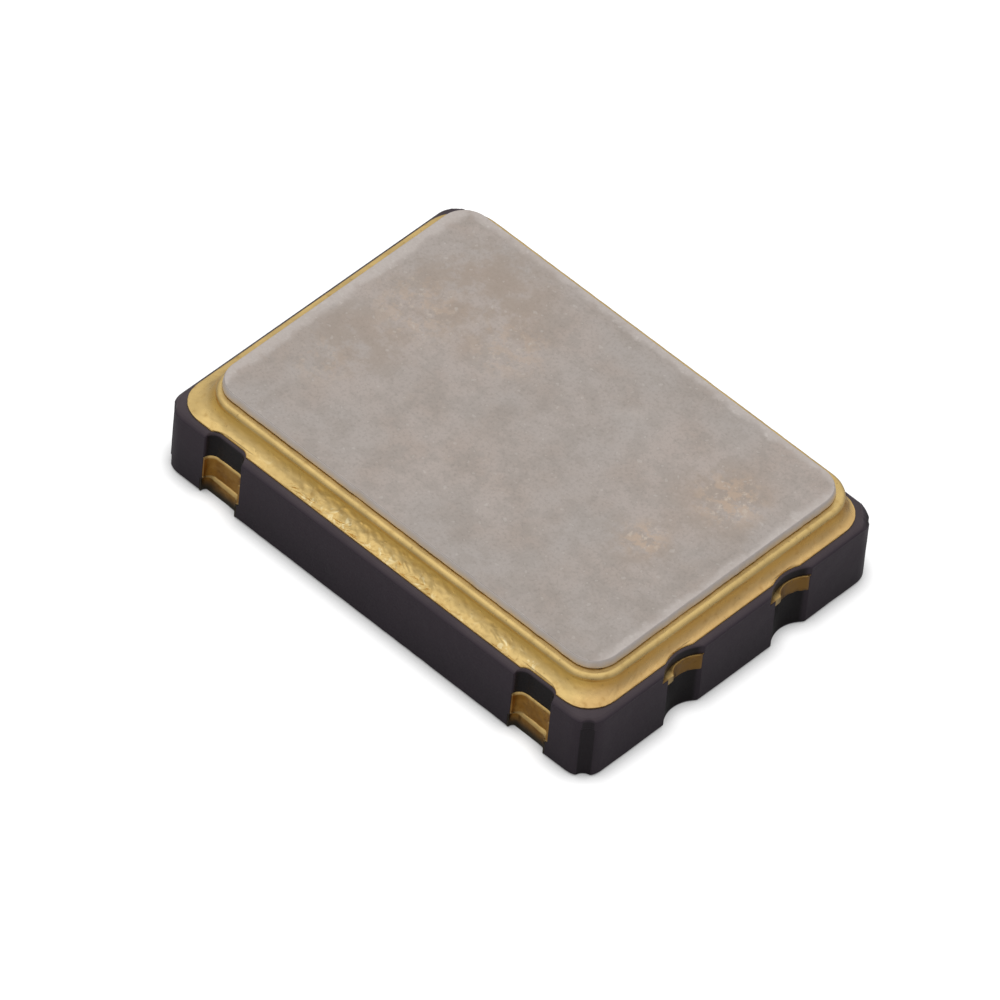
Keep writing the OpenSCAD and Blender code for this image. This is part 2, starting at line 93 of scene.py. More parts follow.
def smoothMax(a, b, softness):
    # the larger of two numbers, rounded off where they are nearly equal
    return (a + b + np.sqrt((a - b) ** 2 + softness ** 2)) / 2


def softSwitch(value, steepness):
    # from 0 to 1 as the value passes nought
    return 1 / (1 + np.exp(-steepness * value))


def hump(value, middle, reach, power):
    # a bell round the middle, flatter on top as the power grows
    return np.exp(-((value - middle) / reach) ** power)


def ripples(points, wavelength, seed, count=14):
    # sum of plane cosine waves in random directions, scaled to about -1 to 1
    rng = np.random.default_rng(seed)
    heading = rng.normal(size=(count, points.shape[-1]))
    heading /= np.linalg.norm(heading, axis=1, keepdims=True)
    turns = 2 * np.pi / wavelength * rng.uniform(0.6, 1.5, count)
    phase = rng.uniform(0, 2 * np.pi, count)
    waves = np.cos(points @ (heading * turns[:, None]).T + phase)
    return waves.sum(-1) / math.sqrt(count)


def uneven(points, waves):
    # sum of ripples, each given by its height, wavelength, seed and, where it isn't 14, its count
    return sum(height * ripples(points, *wave) for height, *wave in waves)


def scoopEnds(centre, side):
    # stations at both ends of a scoop, for its lower part and for its part in the top layer
    n, g = notches, grid
    shift = n["scoopShift"] * (-1 if side == 0 else 1)
    lip = np.linspace(-g["scoopLip"], g["scoopLip"], g["scoopStations"])
    ends = []
    for width, off in ((n["scoopWidth"], 0), (n["scoopWidth"] + n["scoopRim"], shift)):
        for end in (-1, 1):
            ends.append(centre + off + end * width / 2 + lip)
    return ends


def slotEnds(centre):
    # stations at both ends of a slot, for its upper part and for its part in the base layer
    n, g = notches, grid
    turn = np.sin(np.linspace(0, np.pi / 2, g["slotTurn"]))
    ends = []
    for step in (0, n["slotStep"]):
        depth = n["slotDepth"] - step
        for end in (-1, 1):
            ends.append(centre - step + end * (n["slotWidth"] / 2 - depth + depth * turn))
            ends.append(centre - step + end * (n["slotWidth"] / 2 + np.array(g["slotLip"])))
    return ends


def stations(step):
    # places round a rounded rectangle: each side's distances from its middle, each corner's angles
    n, g = notches, grid
    reach = (bodyHigh - bodyLow)[:2] / 2 - n["cornerRadius"]
    sides = []
    for side in range(4):
        across = side % 2 == 0  # sides 0 and 2 are the short ones, along Y
        length = reach[1] if across else reach[0]
        dense = []
        for sign in (-1, 1):
            if across:
                dense += scoopEnds(printY + sign * n["scoopPitch"] / 2, side)
            else:
                dense += slotEnds(printX + sign * n["slotPitch"] / 2)
        s = np.sort(np.concatenate([np.arange(-length, length, step)] + dense))
        s = s[np.abs(s) < length - g["cornerGap"]]
        s = s[np.append(True, np.diff(s) > g["least"])]
        sides.append(s if side in (0, 3) else s[::-1])
    plain = max(g["bendLeast"], int(g["bendLength"] / step))
    bends = np.concatenate([
        np.linspace(0, g["grooveFrom"] - g["bendGap"], plain),
        np.linspace(g["grooveFrom"], g["grooveTo"], g["grooveStations"]),
        np.linspace(g["grooveTo"] + g["bendGap"], 90, plain),
    ])
    return {"sides": sides, "bends": np.radians(bends), "reach": reach}


def outline(spots, x, y, r, cx=0.0, cy=0.0, hold=None):
    # points and outward directions round a rounded rectangle of half sizes x and y, anticlockwise from +X -Y,
    # and where each is: its side and distance, or its corner and angle. Along a side a point keeps its
    # distance up to hold, and past it shares out what is left.
    corners = [(1, 1), (-1, 1), (-1, -1), (1, -1)]
    directions = [(1, 0), (0, 1), (-1, 0), (0, -1)]
    points, normals, where = [], [], []
    for side, direction in enumerate(directions):
        across = side % 2 == 0
        full = spots["reach"][1] if across else spots["reach"][0]
        straight = (y if across else x) - r
        s = spots["sides"][side]
        if hold is None:
            along = s * straight / full
        else:
            keep = hold[1] if across else hold[0]
            centre = cy if across else cx
            spare = (np.abs(s) - keep) / (full - keep)
            far = straight + np.sign(s) * centre
            along = np.where(np.abs(s) < keep, s, np.sign(s) * (keep + spare * (far - keep))) - centre
        face = np.full(len(s), direction[0] * x if across else direction[1] * y)
        points.append(np.stack([face, along] if across else [along, face], 1))
        normals.append(np.tile(np.array(direction, float), (len(s), 1)))
        where.append(np.stack([np.full(len(s), side), s], 1))
        i, j = corners[side]
        turn = spots["bends"] + side * np.pi / 2
        arc = np.stack([np.cos(turn), np.sin(turn)], 1)
        points.append(np.array([i * (x - r), j * (y - r)]) + r * arc)
        normals.append(arc)
        where.append(np.stack([np.full(len(turn), side + 4), spots["bends"]], 1))
    points = np.concatenate(points) + np.array([cx, cy])
    return points, np.concatenate(normals), np.concatenate(where)


def slotProfile(s, width, depth):
    # a straight back wall with a quarter circle at each end
    past = np.clip(np.abs(s) - (width / 2 - depth), 0, depth)
    return np.where(np.abs(s) < width / 2, np.sqrt(np.maximum(depth ** 2 - past ** 2, 0)), 0.0)


def scoopRadius(width, depth):
    # radius of the arc that is this wide and this deep
    return (width ** 2 / 4 + depth ** 2) / (2 * depth)


def scoopProfile(s, width, depth):
    # a shallow circular arc
    r = scoopRadius(width, depth)
    return np.maximum(depth - r + np.sqrt(np.maximum(r * r - s * s, 0)), 0)


def grooveProfile(angle, depth):
    # a round groove across a corner: what it takes off the corner's radius at an angle from the diagonal
    n = notches
    away = n["cornerRadius"] + n["grooveRadius"] - depth
    inside = n["grooveRadius"] ** 2 - (away * np.sin(angle)) ** 2
    radius = away * np.cos(angle) - np.sqrt(np.maximum(inside, 0))
    return np.maximum(np.where(inside > 0, n["cornerRadius"] - radius, 0.0), 0)


def notchDepth(where, layer, clear=0.0):
    # how far the package's side is cut back at each station, in the base, middle or top layer or at its upper
    # edge, where the shallow scoops of the -X side run out
    n = notches
    upper = layer in ("top", "edge")
    scoopShort = n["scoopDepth"] if layer == "edge" else n["scoopShort"]
    side, s = where[:, 0].astype(int), where[:, 1]
    depth = np.zeros(len(side))
    for k in range(4):
        here = side == k
        for sign in (-1, 1):
            if k % 2 == 0:
                rim = n["scoopRim"] if upper else 0.0
                shift = n["scoopShift"] * (-1 if k == 0 else 1) if upper else 0.0
                local = s[here] - printY - sign * n["scoopPitch"] / 2 - shift
                cut = scoopProfile(local, n["scoopWidth"] + rim + 2 * clear, n["scoopDepth"] + clear)
                cut = cut - (scoopShort if k == 2 else 0.0)
            else:
                step = n["slotStep"] if layer == "base" else 0.0
                local = s[here] - printX - sign * n["slotPitch"] / 2 + step
                cut = slotProfile(local, n["slotWidth"] + 2 * clear, n["slotDepth"] - step + clear)
                cut = cut - (n["slotShort"] if k == 1 else 0.0)
            depth[here] = np.maximum(depth[here], cut)
    bend = side >= 4
    deep = n["grooveTopDepth"] if upper else n["grooveDepth"]
    deep = deep * np.array(n["grooveShares"])[side[bend] - 4]
    depth[bend] = grooveProfile(s[bend] - np.pi / 4, deep)
    return depth


def atHeight(flat, z):
    return np.column_stack([flat, np.broadcast_to(z, (len(flat),))])


def gridFaces(index):
    # quads between the rows of a grid of vertex numbers whose columns close on themselves
    right = np.roll(index, -1, axis=1)
    return np.stack([index[:-1], right[:-1], right[1:], index[1:]], -1).reshape(-1, 4)


def addPiece(name, verts, faces, sharpAngle=None):
    # verts are in millimetres
    mesh = bpy.data.meshes.new(name)
    mesh.from_pydata((verts * mm).tolist(), [], faces)
    mesh.polygons.foreach_set("use_smooth", np.ones(len(mesh.polygons), bool))
    if sharpAngle:
        mesh.set_sharp_from_angle(angle=math.radians(sharpAngle))
    mesh.update()
    piece = bpy.data.objects.new(name, mesh)
    bpy.context.collection.objects.link(piece)
    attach(piece, "root")
    print(name, len(mesh.polygons), "faces")
    return piece


def ringPiece(name, rows):
    # closed outlines joined in order, the last one to the first
    points = np.stack(rows)
    index = np.arange(points.shape[0] * points.shape[1]).reshape(points.shape[:2])
    return addPiece(name, points.reshape(-1, 3), gridFaces(np.vstack([index, index[:1]])).tolist())


def cappedPiece(name, rows):
    # closed outlines joined in order, with a fan of triangles from the middle over the first and the last
    points = np.stack(rows)
    count, columns = points.shape[:2]
    index = np.arange(count * columns).reshape(count, columns)
    faces = gridFaces(index).tolist()
    middle = np.full(columns, count * columns)
    faces += np.stack([np.roll(index[0], -1), index[0], middle], -1).tolist()
    faces += np.stack([index[-1], np.roll(index[-1], -1), middle + 1], -1).tolist()
    verts = np.vstack([points.reshape(-1, 3), points[0].mean(0), points[-1].mean(0)])
    return addPiece(name, verts, faces)


def operator(operation):
    # a method that adds this Math node to a Wire
    return lambda wire, other: wire.math(operation, other)


# A socket on which plain arithmetic adds Math nodes
class Wire:
    def __init__(self, finish, socket):
        self.finish, self.socket = finish, socket

    def math(self, operation, *others):
        return self.finish.node("ShaderNodeMath", {"operation": operation}, dict(enumerate((self, *others))))

    def __rsub__(self, other):
        return (self * -1.0) + other

    __add__ = __radd__ = operator("ADD")
    __sub__ = operator("SUBTRACT")
    __mul__ = __rmul__ = operator("MULTIPLY")
    __pow__ = operator("POWER")


# A node tree under construction, in a new material unless another owner is given. A look is a dictionary of
# a finish's values: noises by scale, detail and roughness, layers by noise, where the tint starts and is
# full, strength and tint, relief by each noise's share, and sheen by noise, where it starts and ends, and
# the roughness there. A span is where a mask starts and where it is full.
class Finish:
    def __init__(self, name, owner=None):
        self.material = owner or bpy.data.materials.new(name)
        self.material.use_nodes = True
        self.tree = self.material.node_tree
        self.tree.nodes.clear()

    def node(self, kind, settings=None, values=None, out=0):
        made = self.tree.nodes.new(kind)
        for key, value in (settings or {}).items():
            setattr(made, key, value)
        for key, value in (values or {}).items():
            socket = made.inputs[key]
            if isinstance(value, Wire):
                self.tree.links.new(value.socket, socket)
            elif socket.type == "RGBA":
                socket.default_value = (*value, 1.0)
            else:
                socket.default_value = value
        return Wire(self, made.outputs[out]) if made.outputs else None

    def coordinates(self):
        # Object coordinates in millimetres
        values = {"Vector": self.node("ShaderNodeTexCoord", out="Object"), "Scale": (1 / mm,) * 3}
        return self.node("ShaderNodeMapping", {"vector_type": "POINT"}, values)

    def axis(self, at, name):
        return self.node("ShaderNodeSeparateXYZ", None, {0: at}, name)

    def noise(self, at, scale, detail=2.0, rough=0.5, **extra):
        values = {"Vector": at, "Scale": scale, "Detail": detail, "Roughness": rough, **extra}
        return self.node("ShaderNodeTexNoise", {"noise_dimensions": "3D"}, values, "Fac")

    def noises(self, at, look):
        return {name: self.noise(at, *setting) for name, setting in look["noises"].items()}

    def ease(self, value, low, high, to=(0.0, 1.0)):
        values = {"Value": value, "From Min": low, "From Max": high, "To Min": to[0], "To Max": to[1]}
        return self.node("ShaderNodeMapRange", {"interpolation_type": "SMOOTHSTEP"}, values)

    def rise(self, value, level, span):
        # the span is given from the level
        return self.ease(value, level + span[0], level + span[1])

    def blend(self, amount, first, second, mode="MIX"):
        settings = {"data_type": "RGBA", "blend_type": mode}
        return self.node("ShaderNodeMix", settings, {0: amount, 6: first, 7: second}, 2)

    def layered(self, colour, noise, look):
        for name, low, high, strength, tint in look["layers"]:
            colour = self.blend(self.ease(noise[name], low, high) * strength, colour, look[tint])
        return colour

    def nearby(self, distance):
        # how open the surroundings are, up to a distance in millimetres
        return self.node("ShaderNodeAmbientOcclusion", {"samples": 8}, {"Distance": distance * mm}, "AO")

    def surface(self, **values):
        named = {key.replace("_", " "): value for key, value in values.items()}
        shader = self.node("ShaderNodeBsdfPrincipled", None, named, "BSDF")
        self.node("ShaderNodeOutputMaterial", None, {"Surface": shader})
        return self.material

    def coat(self, look, noise, **values):
        # a surface with the look's sheen and relief, whose bump is in millimetres
        name, low, high, *to = look["sheen"]
        height = sum(noise[part] * share for part, share in look["relief"].items())
        bump = self.node("ShaderNodeBump", None, {"Height": height, "Distance": look["bump"] * mm}, "Normal")
        return self.surface(Roughness=self.ease(noise[name], low, high, to), Normal=bump, **values)


def paint(target, material):
    target.data.materials.clear()
    target.data.materials.append(material)


ceramic = {
    # foot is a painted shade: the sides are coloured darker towards the bottom
    "foot": (0.025, 0.019, 0.025), "side": (0.035, 0.025, 0.034), "rim": (0.090, 0.070, 0.078),
    # deep is a dark colour painted as shade on the walls of the slots, scoops and corner grooves
    "cloudy": (0.045, 0.034, 0.043), "speck": (0.10, 0.085, 0.10), "deep": (0.004, 0.003, 0.003),
    "noises": {"grain": (28.0, 3.0, 0.6), "cloud": (1.6, 3.0), "lumps": (9.0, 2.0)},
    "layers": [("cloud", 0.35, 0.7, 0.35, "cloudy"), ("grain", 0.62, 0.74, 0.15, "speck")],
    "footShadeSpan": (0.15, 0.9), "rimToneAndHighlightSpan": (-0.05, -0.012), "rimShare": 0.8,
    "wallSpan": (-0.02, -0.06), "footSpan": (0.004, 0.03), "topSpan": (-0.03, -0.06), "paintedWallShade": 0.9,
    "scoopReach": 1.6, "slotReach": 3.0, "reachSpan": (0.1, 0.0),
    "cornerSpan": (0.08, 0.10), "arcSpan": (-0.004, -0.020), "grooveSpan": (-0.055, -0.075),
    "paintedGrooveShade": 0.6, "gloss": 0.2, "sheen": ("cloud", 0.3, 0.7, 0.40, 0.52),
    "relief": {"grain": 0.6, "lumps": 1.4}, "bump": 0.0022,
}


def paintedNotchShade(f, height, awayX, awayY, colour):
    # painted shade: darkens the walls of the slots and grooves, which lie in from the sides
    c = ceramic
    inX = f.rise(awayX, bodyHigh[0], c["wallSpan"]) * f.rise(awayY, c["scoopReach"], c["reachSpan"])
    inY = f.rise(awayY, bodyHigh[1], c["wallSpan"]) * f.rise(awayX, c["slotReach"], c["reachSpan"])
    between = f.rise(height, bodyLow[2], c["footSpan"]) * f.rise(height, zRim, c["topSpan"])
    return f.blend(inX.math("MAXIMUM", inY) * between * c["paintedWallShade"], colour, c["deep"])


def paintedGrooveShade(f, height, awayX, awayY, colour):
    # painted shade: darkens the walls of the corner grooves, which lie inside the corners' arc
    c, radius = ceramic, notches["cornerRadius"]
    cornerX, cornerY = awayX - (bodyHigh[0] - radius), awayY - (bodyHigh[1] - radius)
    past = (cornerX.math("MAXIMUM", 0.0) ** 2.0 + cornerY.math("MAXIMUM", 0.0) ** 2.0) ** 0.5
    corner = f.ease(cornerX.math("MINIMUM", cornerY), *c["cornerSpan"])
    mask = corner * f.rise(past, radius, c["arcSpan"]) * f.rise(height, zRim, c["grooveSpan"])
    return f.blend(mask * c["paintedGrooveShade"], colour, c["deep"])


def ceramicFinish():
    c = ceramic
    f = Finish("firedCeramic")
    at = f.coordinates()
    noise = f.noises(at, c)
    height = f.axis(at, "Z")
    awayX, awayY = f.axis(at, "X").math("ABSOLUTE"), f.axis(at, "Y").math("ABSOLUTE")
    # painted shade: the sides darken from the side colour to the foot colour towards the bottom
    colour = f.blend(f.ease(height, *c["footShadeSpan"]), c["foot"], c["side"])
    # the top edge lighter: partly the scored ceramic's own lighter tone, partly a painted highlight on the
    # bevel
    colour = f.blend(f.rise(height, zRim, c["rimToneAndHighlightSpan"]) * c["rimShare"], colour, c["rim"])
    colour = f.layered(colour, noise, c)
    colour = paintedNotchShade(f, height, awayX, awayY, colour)
    colour = paintedGrooveShade(f, height, awayX, awayY, colour)
    return f.coat(c, noise, Base_Color=colour, Specular_IOR_Level=c["gloss"])


gold = {
    "base": (0.74, 0.53, 0.215), "shade": (0.6512, 0.4664, 0.1892), "deep": (0.46, 0.27, 0.07),
    "brown": (0.36, 0.165, 0.025), "pit": (0.16, 0.09, 0.04),
    "noises": {"grain": (34.0, 3.0, 0.6), "cloud": (2.2, 3.0, 0.6), "fine": (11.0, 3.0), "pit": (20.0, 1.0)},
    "layers": [("cloud", 0.38, 0.66, 1.0, "shade"), ("fine", 0.55, 0.8, 0.45, "deep")],
    "pitSpan": (0.70, 0.78), "relief": {"grain": 1.0, "fine": 1.5},
}
goldPrint = {"sheen": ("fine", 0.3, 0.75, 0.29, 0.44), "bump": 0.0012, "pits": 0.0}
goldBraze = {"sheen": ("fine", 0.3, 0.75, 0.27, 0.42), "bump": 0.0016, "pits": 0.25}
goldRing = {"sheen": ("fine", 0.3, 0.75, 0.25, 0.40), "bump": 0.0010, "pits": 0.35}

# painted light on the braze's slope; the stretches along X with streaks are given by middle, reach and full
# reach
slopeLight = {
    # colours of painted light: a highlight, shade up the steep slope, and shade towards +X
    "glint": (0.98, 0.86, 0.52), "steepShade": (0.72, 0.46, 0.12), "dull": (1.0, 0.925, 0.93),
    "stretches": [(-0.3, 1.9, 1.5), (2.15, 0.4, 0.2)], "acrossSpan": (0.42, 0.30), "heightSpan": (0.10, 0.05),
    "patches": (1.9, 2.0), "patchSpan": (0.40, 0.60), "streaks": (7.5, 2.0, 0.6), "swirl": 1.2,
    "lightSpan": (0.56, 0.64), "lightShare": 0.6, "creaseShadeSpan": (0.45, 0.37), "creaseShadeShare": 0.35,
    "steepShadeSpan": (0.06, 0.17), "plusXShadeSpan": (2.95, 3.30),
}


def slopePaintedLight(f, at, colour):
    # painted highlights and painted crease shade as light and dark streaks on the -Y slope, a warmer painted
    # shade up the slope and a duller one at its +X end
    t = slopeLight
    x, y, z = (f.axis(at, name) for name in "XYZ")
    along = sum(f.ease((x - middle).math("ABSOLUTE"), reach, full) for middle, reach, full in t["stretches"])
    across = f.rise(y, brazeLow[1], t["acrossSpan"]) * f.rise(z, zBand, t["heightSpan"])
    patch = f.ease(f.noise(at, *t["patches"]), *t["patchSpan"]) * along * across
    streak = f.noise(at, *t["streaks"], Distortion=t["swirl"])
    # painted highlights: light streaks standing in for the wrinkles' reflections
    colour = f.blend(f.ease(streak, *t["lightSpan"]) * patch * t["lightShare"], colour, t["glint"])
    # painted shade: dark streaks in the wrinkles' creases
    colour = f.blend(f.ease(streak, *t["creaseShadeSpan"]) * patch * t["creaseShadeShare"], colour, gold["deep"])
    # painted shade: the steep upper slope darker and more saturated
    colour = f.blend(f.rise(z, zBand, t["steepShadeSpan"]), colour, t["steepShade"])
    # painted shade: the slope darker at its +X end
    return f.blend(f.ease(x, *t["plusXShadeSpan"]), colour, t["dull"], "MULTIPLY")


def goldFinish(name, piece, lightPainting=None):
    f = Finish(name)
    at = f.coordinates()
    noise = f.noises(at, gold)
    colour = f.layered(gold["base"], noise, gold)
    if lightPainting:
        colour = lightPainting(f, at, colour)
    colour = f.blend(f.ease(noise["pit"], *gold["pitSpan"]) * piece["pits"], colour, gold["pit"])
    return f.coat({**gold, **piece}, noise, Base_Color=colour, Metallic=1.0)


# places of the lid's stains and its darker brown patches: x, y, radius in millimetres, strength
lid = {
    "base": (0.53, 0.465, 0.425), "cool": (0.50, 0.455, 0.425), "warm": (0.50, 0.42, 0.36),
    "dull": (0.44, 0.395, 0.36), "grit": (0.32, 0.285, 0.255), "fleck": (0.68, 0.64, 0.60),
    # the first two colours on this line are painted highlights, on the lid's edge and along its outline
    "edge": (0.79, 0.735, 0.70), "edgeSheen": (0.66, 0.605, 0.57), "stain": (0.60, 0.475, 0.375),
    "brown": (0.47, 0.385, 0.32), "cream": (0.66, 0.58, 0.50),
    "noises": {
        "grain": (24.0, 2.0, 0.7), "blotch": (1.5, 4.0, 0.6), "fine": (4.6, 4.0, 0.65), "wide": (0.6, 2.0),
        "stain": (5.5, 5.0, 0.7), "cream": (10.0, 4.0, 0.7), "fleck": (12.0, 1.0), "lumps": (8.0, 3.0),
    },
    "layers": [("wide", 0.35, 0.65, 1.0, "cool"), ("blotch", 0.40, 0.68, 0.35, "warm"),
               ("fine", 0.42, 0.62, 0.6, "dull"), ("grain", 0.46, 0.74, 0.35, "grit")],
    "edgeSpan": (-0.0050, -0.0105), "edgeHighlightShare": 0.85,
    "edgeSheenSpan": (-0.17, -0.05), "edgeSheenWander": 0.35, "edgeSheenShare": 0.25, "edgeSheenGrain": 0.9,
    "brownPatches": [(-1.9, 1.2, 1.3, 0.6), (-2.4, -0.3, 0.9, 0.45), (2.3, 1.0, 0.9, 0.5), (2.1, -0.2, 0.6, 0.5)],
    "brownPatchCore": 0.3, "brownPatchSpan": (0.85, 1.10),
    "stains": [(2.35, 1.05, 0.62, 0.8), (2.10, -0.15, 0.40, 0.8), (-2.3, 0.55, 0.8, 0.45),
               (-1.1, 0.9, 0.7, 0.4), (-2.5, -0.9, 0.6, 0.3)],
    "stainCore": 0.2, "stainSpan": (0.46, 0.57), "creamSpan": (0.56, 0.66),
    "fleckSpan": (0.67, 0.74), "fleckNearEdge": 0.05, "fleckShare": 0.35,
    "sheen": ("blotch", 0.35, 0.7, 0.46, 0.58), "relief": {"grain": 1.0, "lumps": 1.6}, "bump": 0.0016,
}


def lidSpot(f, x, y, spot, core):
    # a round spot that fades out from a share of its radius to the whole
    cx, cy, radius, strength = spot
    far = ((x - cx) ** 2.0 + (y - cy) ** 2.0) ** 0.5
    return f.ease(far, radius, radius * core) * strength


def lidFinish():
    f = Finish("mattNickel")
    at = f.coordinates()
    noise = f.noises(at, lid)
    x, y, z = (f.axis(at, name) for name in "XYZ")
    colour = f.layered(lid["base"], noise, lid)
    # painted highlight: the lid's rounded edge and side lighter and bluer than its top
    colour = f.blend(f.rise(z, lidHigh[2], lid["edgeSpan"]) * lid["edgeHighlightShare"], colour, lid["edge"])
    half = (lidHigh - lidLow) / 2
    inX = (x - printX).math("ABSOLUTE") - half[0]
    inY = y - printY - half[1]
    toEdge = inX.math("MAXIMUM", inY) + (noise["fine"] - 0.5) * lid["edgeSheenWander"]
    nearEdge = f.ease(toEdge, *lid["edgeSheenSpan"])
    # painted highlight: a speckled lighter band along the lid's outline, but not on its -Y side
    colour = f.blend(nearEdge * (lid["edgeSheenShare"] + noise["grain"] * lid["edgeSheenGrain"]), colour, lid["edgeSheen"])
    dark = f.ease(noise["fine"] + noise["blotch"], *lid["brownPatchSpan"])
    for spot in lid["brownPatches"]:
        colour = f.blend(lidSpot(f, x, y, spot, lid["brownPatchCore"]) * dark, colour, lid["brown"])
    stained, creamy = f.ease(noise["stain"], *lid["stainSpan"]), f.ease(noise["cream"], *lid["creamSpan"])
    for spot in lid["stains"]:
        near = lidSpot(f, x, y, spot, lid["stainCore"])
        colour = f.blend(near * stained, colour, lid["stain"])
        colour = f.blend(near * creamy, colour, lid["cream"])
    fleck = f.ease(noise["fleck"] + nearEdge * lid["fleckNearEdge"], *lid["fleckSpan"])
    colour = f.blend(fleck * lid["fleckShare"], colour, lid["fleck"])
    return f.coat(lid, noise, Base_Color=colour, Metallic=1.0)


ceramicMaterial = ceramicFinish()
printMaterial = goldFinish("goldPrint", goldPrint)
brazeMaterial = goldFinish("goldBraze", goldBraze, slopePaintedLight)
ringMaterial = goldFinish("goldRing", goldRing)
nickelMaterial = lidFinish()
print("finishes made")


# the ceramic package; waves are given by height, wavelength and seed
packageShape = {
    "step": 0.035, "baseBevel": 0.028, "edgeBevel": 0.052, "edgeSoftness": 0.010, "capInset": 0.27,
    "waviness": (0.0022, 0.5, 3), "seamNear": 0.002, "seamFar": 0.008,
    "cornerWear": 1.1,  # how much wider the upper bevel is at the +X +Y corner, which is rubbed rounder
    "bevelDrop": 0.01, "bevelRise": 0.006, "notchSlope": 0.004,
    "score": [(0.004, 0.9, 11), (0.0022, 0.12, 12)],
    "openingX": 2.75, "openingY": 1.75, "openingRadius": 0.20, "openingRim": 0.012, "rimShare": 0.3,
    "shelfFrom": -1.95, "shelfTo": 1.95, "bondY": 1.58, "wellX": 1.18, "wellY": 1.03,
}


def packageSides(base, out, where):
    # outlines of the outside from the underside to the top: the base outline moved in by an inset or by the
    # depth of the notches, whichever is more
    p = packageShape
    soft = p["edgeSoftness"]
    depths = {layer: notchDepth(where, layer) for layer in ("base", "middle", "top", "edge")}
    depths["plain"] = np.zeros(len(base))

    def ring(z, inset, layer, wave=1.0):
        height, *ripple = p["waviness"]
        wobble = ripples(atHeight(base, z), *ripple) * height * wave
        offset = smoothMax(inset, depths[layer], soft) - soft / 2
        offset = np.maximum(offset + np.abs(wobble), 0)
        return atHeight(base - out * offset[:, None], z)

    rows = [ring(bodyLow[2], p["capInset"], "plain", 0)]
    for a in np.linspace(0, np.pi / 2, 6):  # round lower edge
        b = p["baseBevel"]
        rows.append(ring(bodyLow[2] + b * (1 - math.cos(a)), b * (1 - math.sin(a)), "base"))
    level = bodyLow[2] + p["baseBevel"]
    seams = [(zFloor, "base", "middle"), (zBond, "middle", "middle"), (zShelf, "middle", "top")]
    for seam, below, above in seams:
        for z in np.linspace(level, seam - p["seamFar"], 5)[1:]:
            rows.append(ring(z, 0.0, below))
        rows.append(ring(seam - p["seamNear"], 0.0, below))
        rows.append(ring(seam + p["seamNear"], 0.0, above))
        rows.append(ring(seam + p["seamFar"], 0.0, above))
        level = seam + p["seamFar"]
    fromDiagonal = np.where(where[:, 0] == 4, where[:, 1] - np.pi / 4, np.pi / 4)
    wear = (math.sqrt(2) * np.cos(fromDiagonal) - 1) / (math.sqrt(2) - 1)
    bevel = p["edgeBevel"] * (1 + p["cornerWear"] * wear)
    for share, layer in ((1 / 3, "top"), (2 / 3, "top"), (1, "edge")):
        rows.append(ring(level + (zRim - bevel - p["bevelDrop"] - level) * share, 0.0, layer))
    # scored upper edge: a straight bevel with soft ends, its width wandering a little
    score = uneven(base, p["score"]) * (depths["edge"] < 0.01)
    for t in np.linspace(0, 1, 9):
        inset = bevel * t + p["bevelRise"] * math.sin(math.pi * t)
        flat = smoothMax(inset, depths["edge"] + p["notchSlope"] * t, soft) - soft / 2
        flat = flat + score * math.sin(math.pi * t * 0.5)
        rows.append(atHeight(base - out * np.maximum(flat, 0)[:, None], zRim - bevel * (1 - t)))
    rows.append(ring(zRim, p["capInset"], "plain", 0))
    return rows


def packageCavity(spots):
    # outlines of the cavity's three steps from the top down, each with a soft rim
    p = packageShape
    k, radius = p["openingRim"], p["openingRadius"]
    shelfHalf, shelfMiddle = (p["shelfTo"] - p["shelfFrom"]) / 2, (p["shelfTo"] + p["shelfFrom"]) / 2
    steps = [(p["openingX"], p["openingY"], 0.0, zRim, zShelf),
             (shelfHalf, p["bondY"], shelfMiddle, zShelf, zBond),
             (p["wellX"], p["wellY"], 0.0, zBond, zFloor)]
    rows = []
    for x, y, cx, top, foot in steps:
        soft = k * p["rimShare"]
        for z, grow in ((top, k), (top - soft, soft), (top - k, 0.0), (foot + k, 0.0), (foot, -k)):
            flat, _, _ = outline(spots, x + grow, y + grow, radius + grow, printX + cx, printY)
            rows.append(atHeight(flat, z))
    return rows


def package():
    # one closed skin: up the outside, over the top and down the cavity's steps
    spots = stations(packageShape["step"])
    base, out, where = outline(spots, bodyHigh[0], bodyHigh[1], notches["cornerRadius"])
    return cappedPiece("packageSkin", packageSides(base, out, where) + packageCavity(spots))


packagePiece = package()
paint(packagePiece, ceramicMaterial)
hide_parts("ceramic_body")


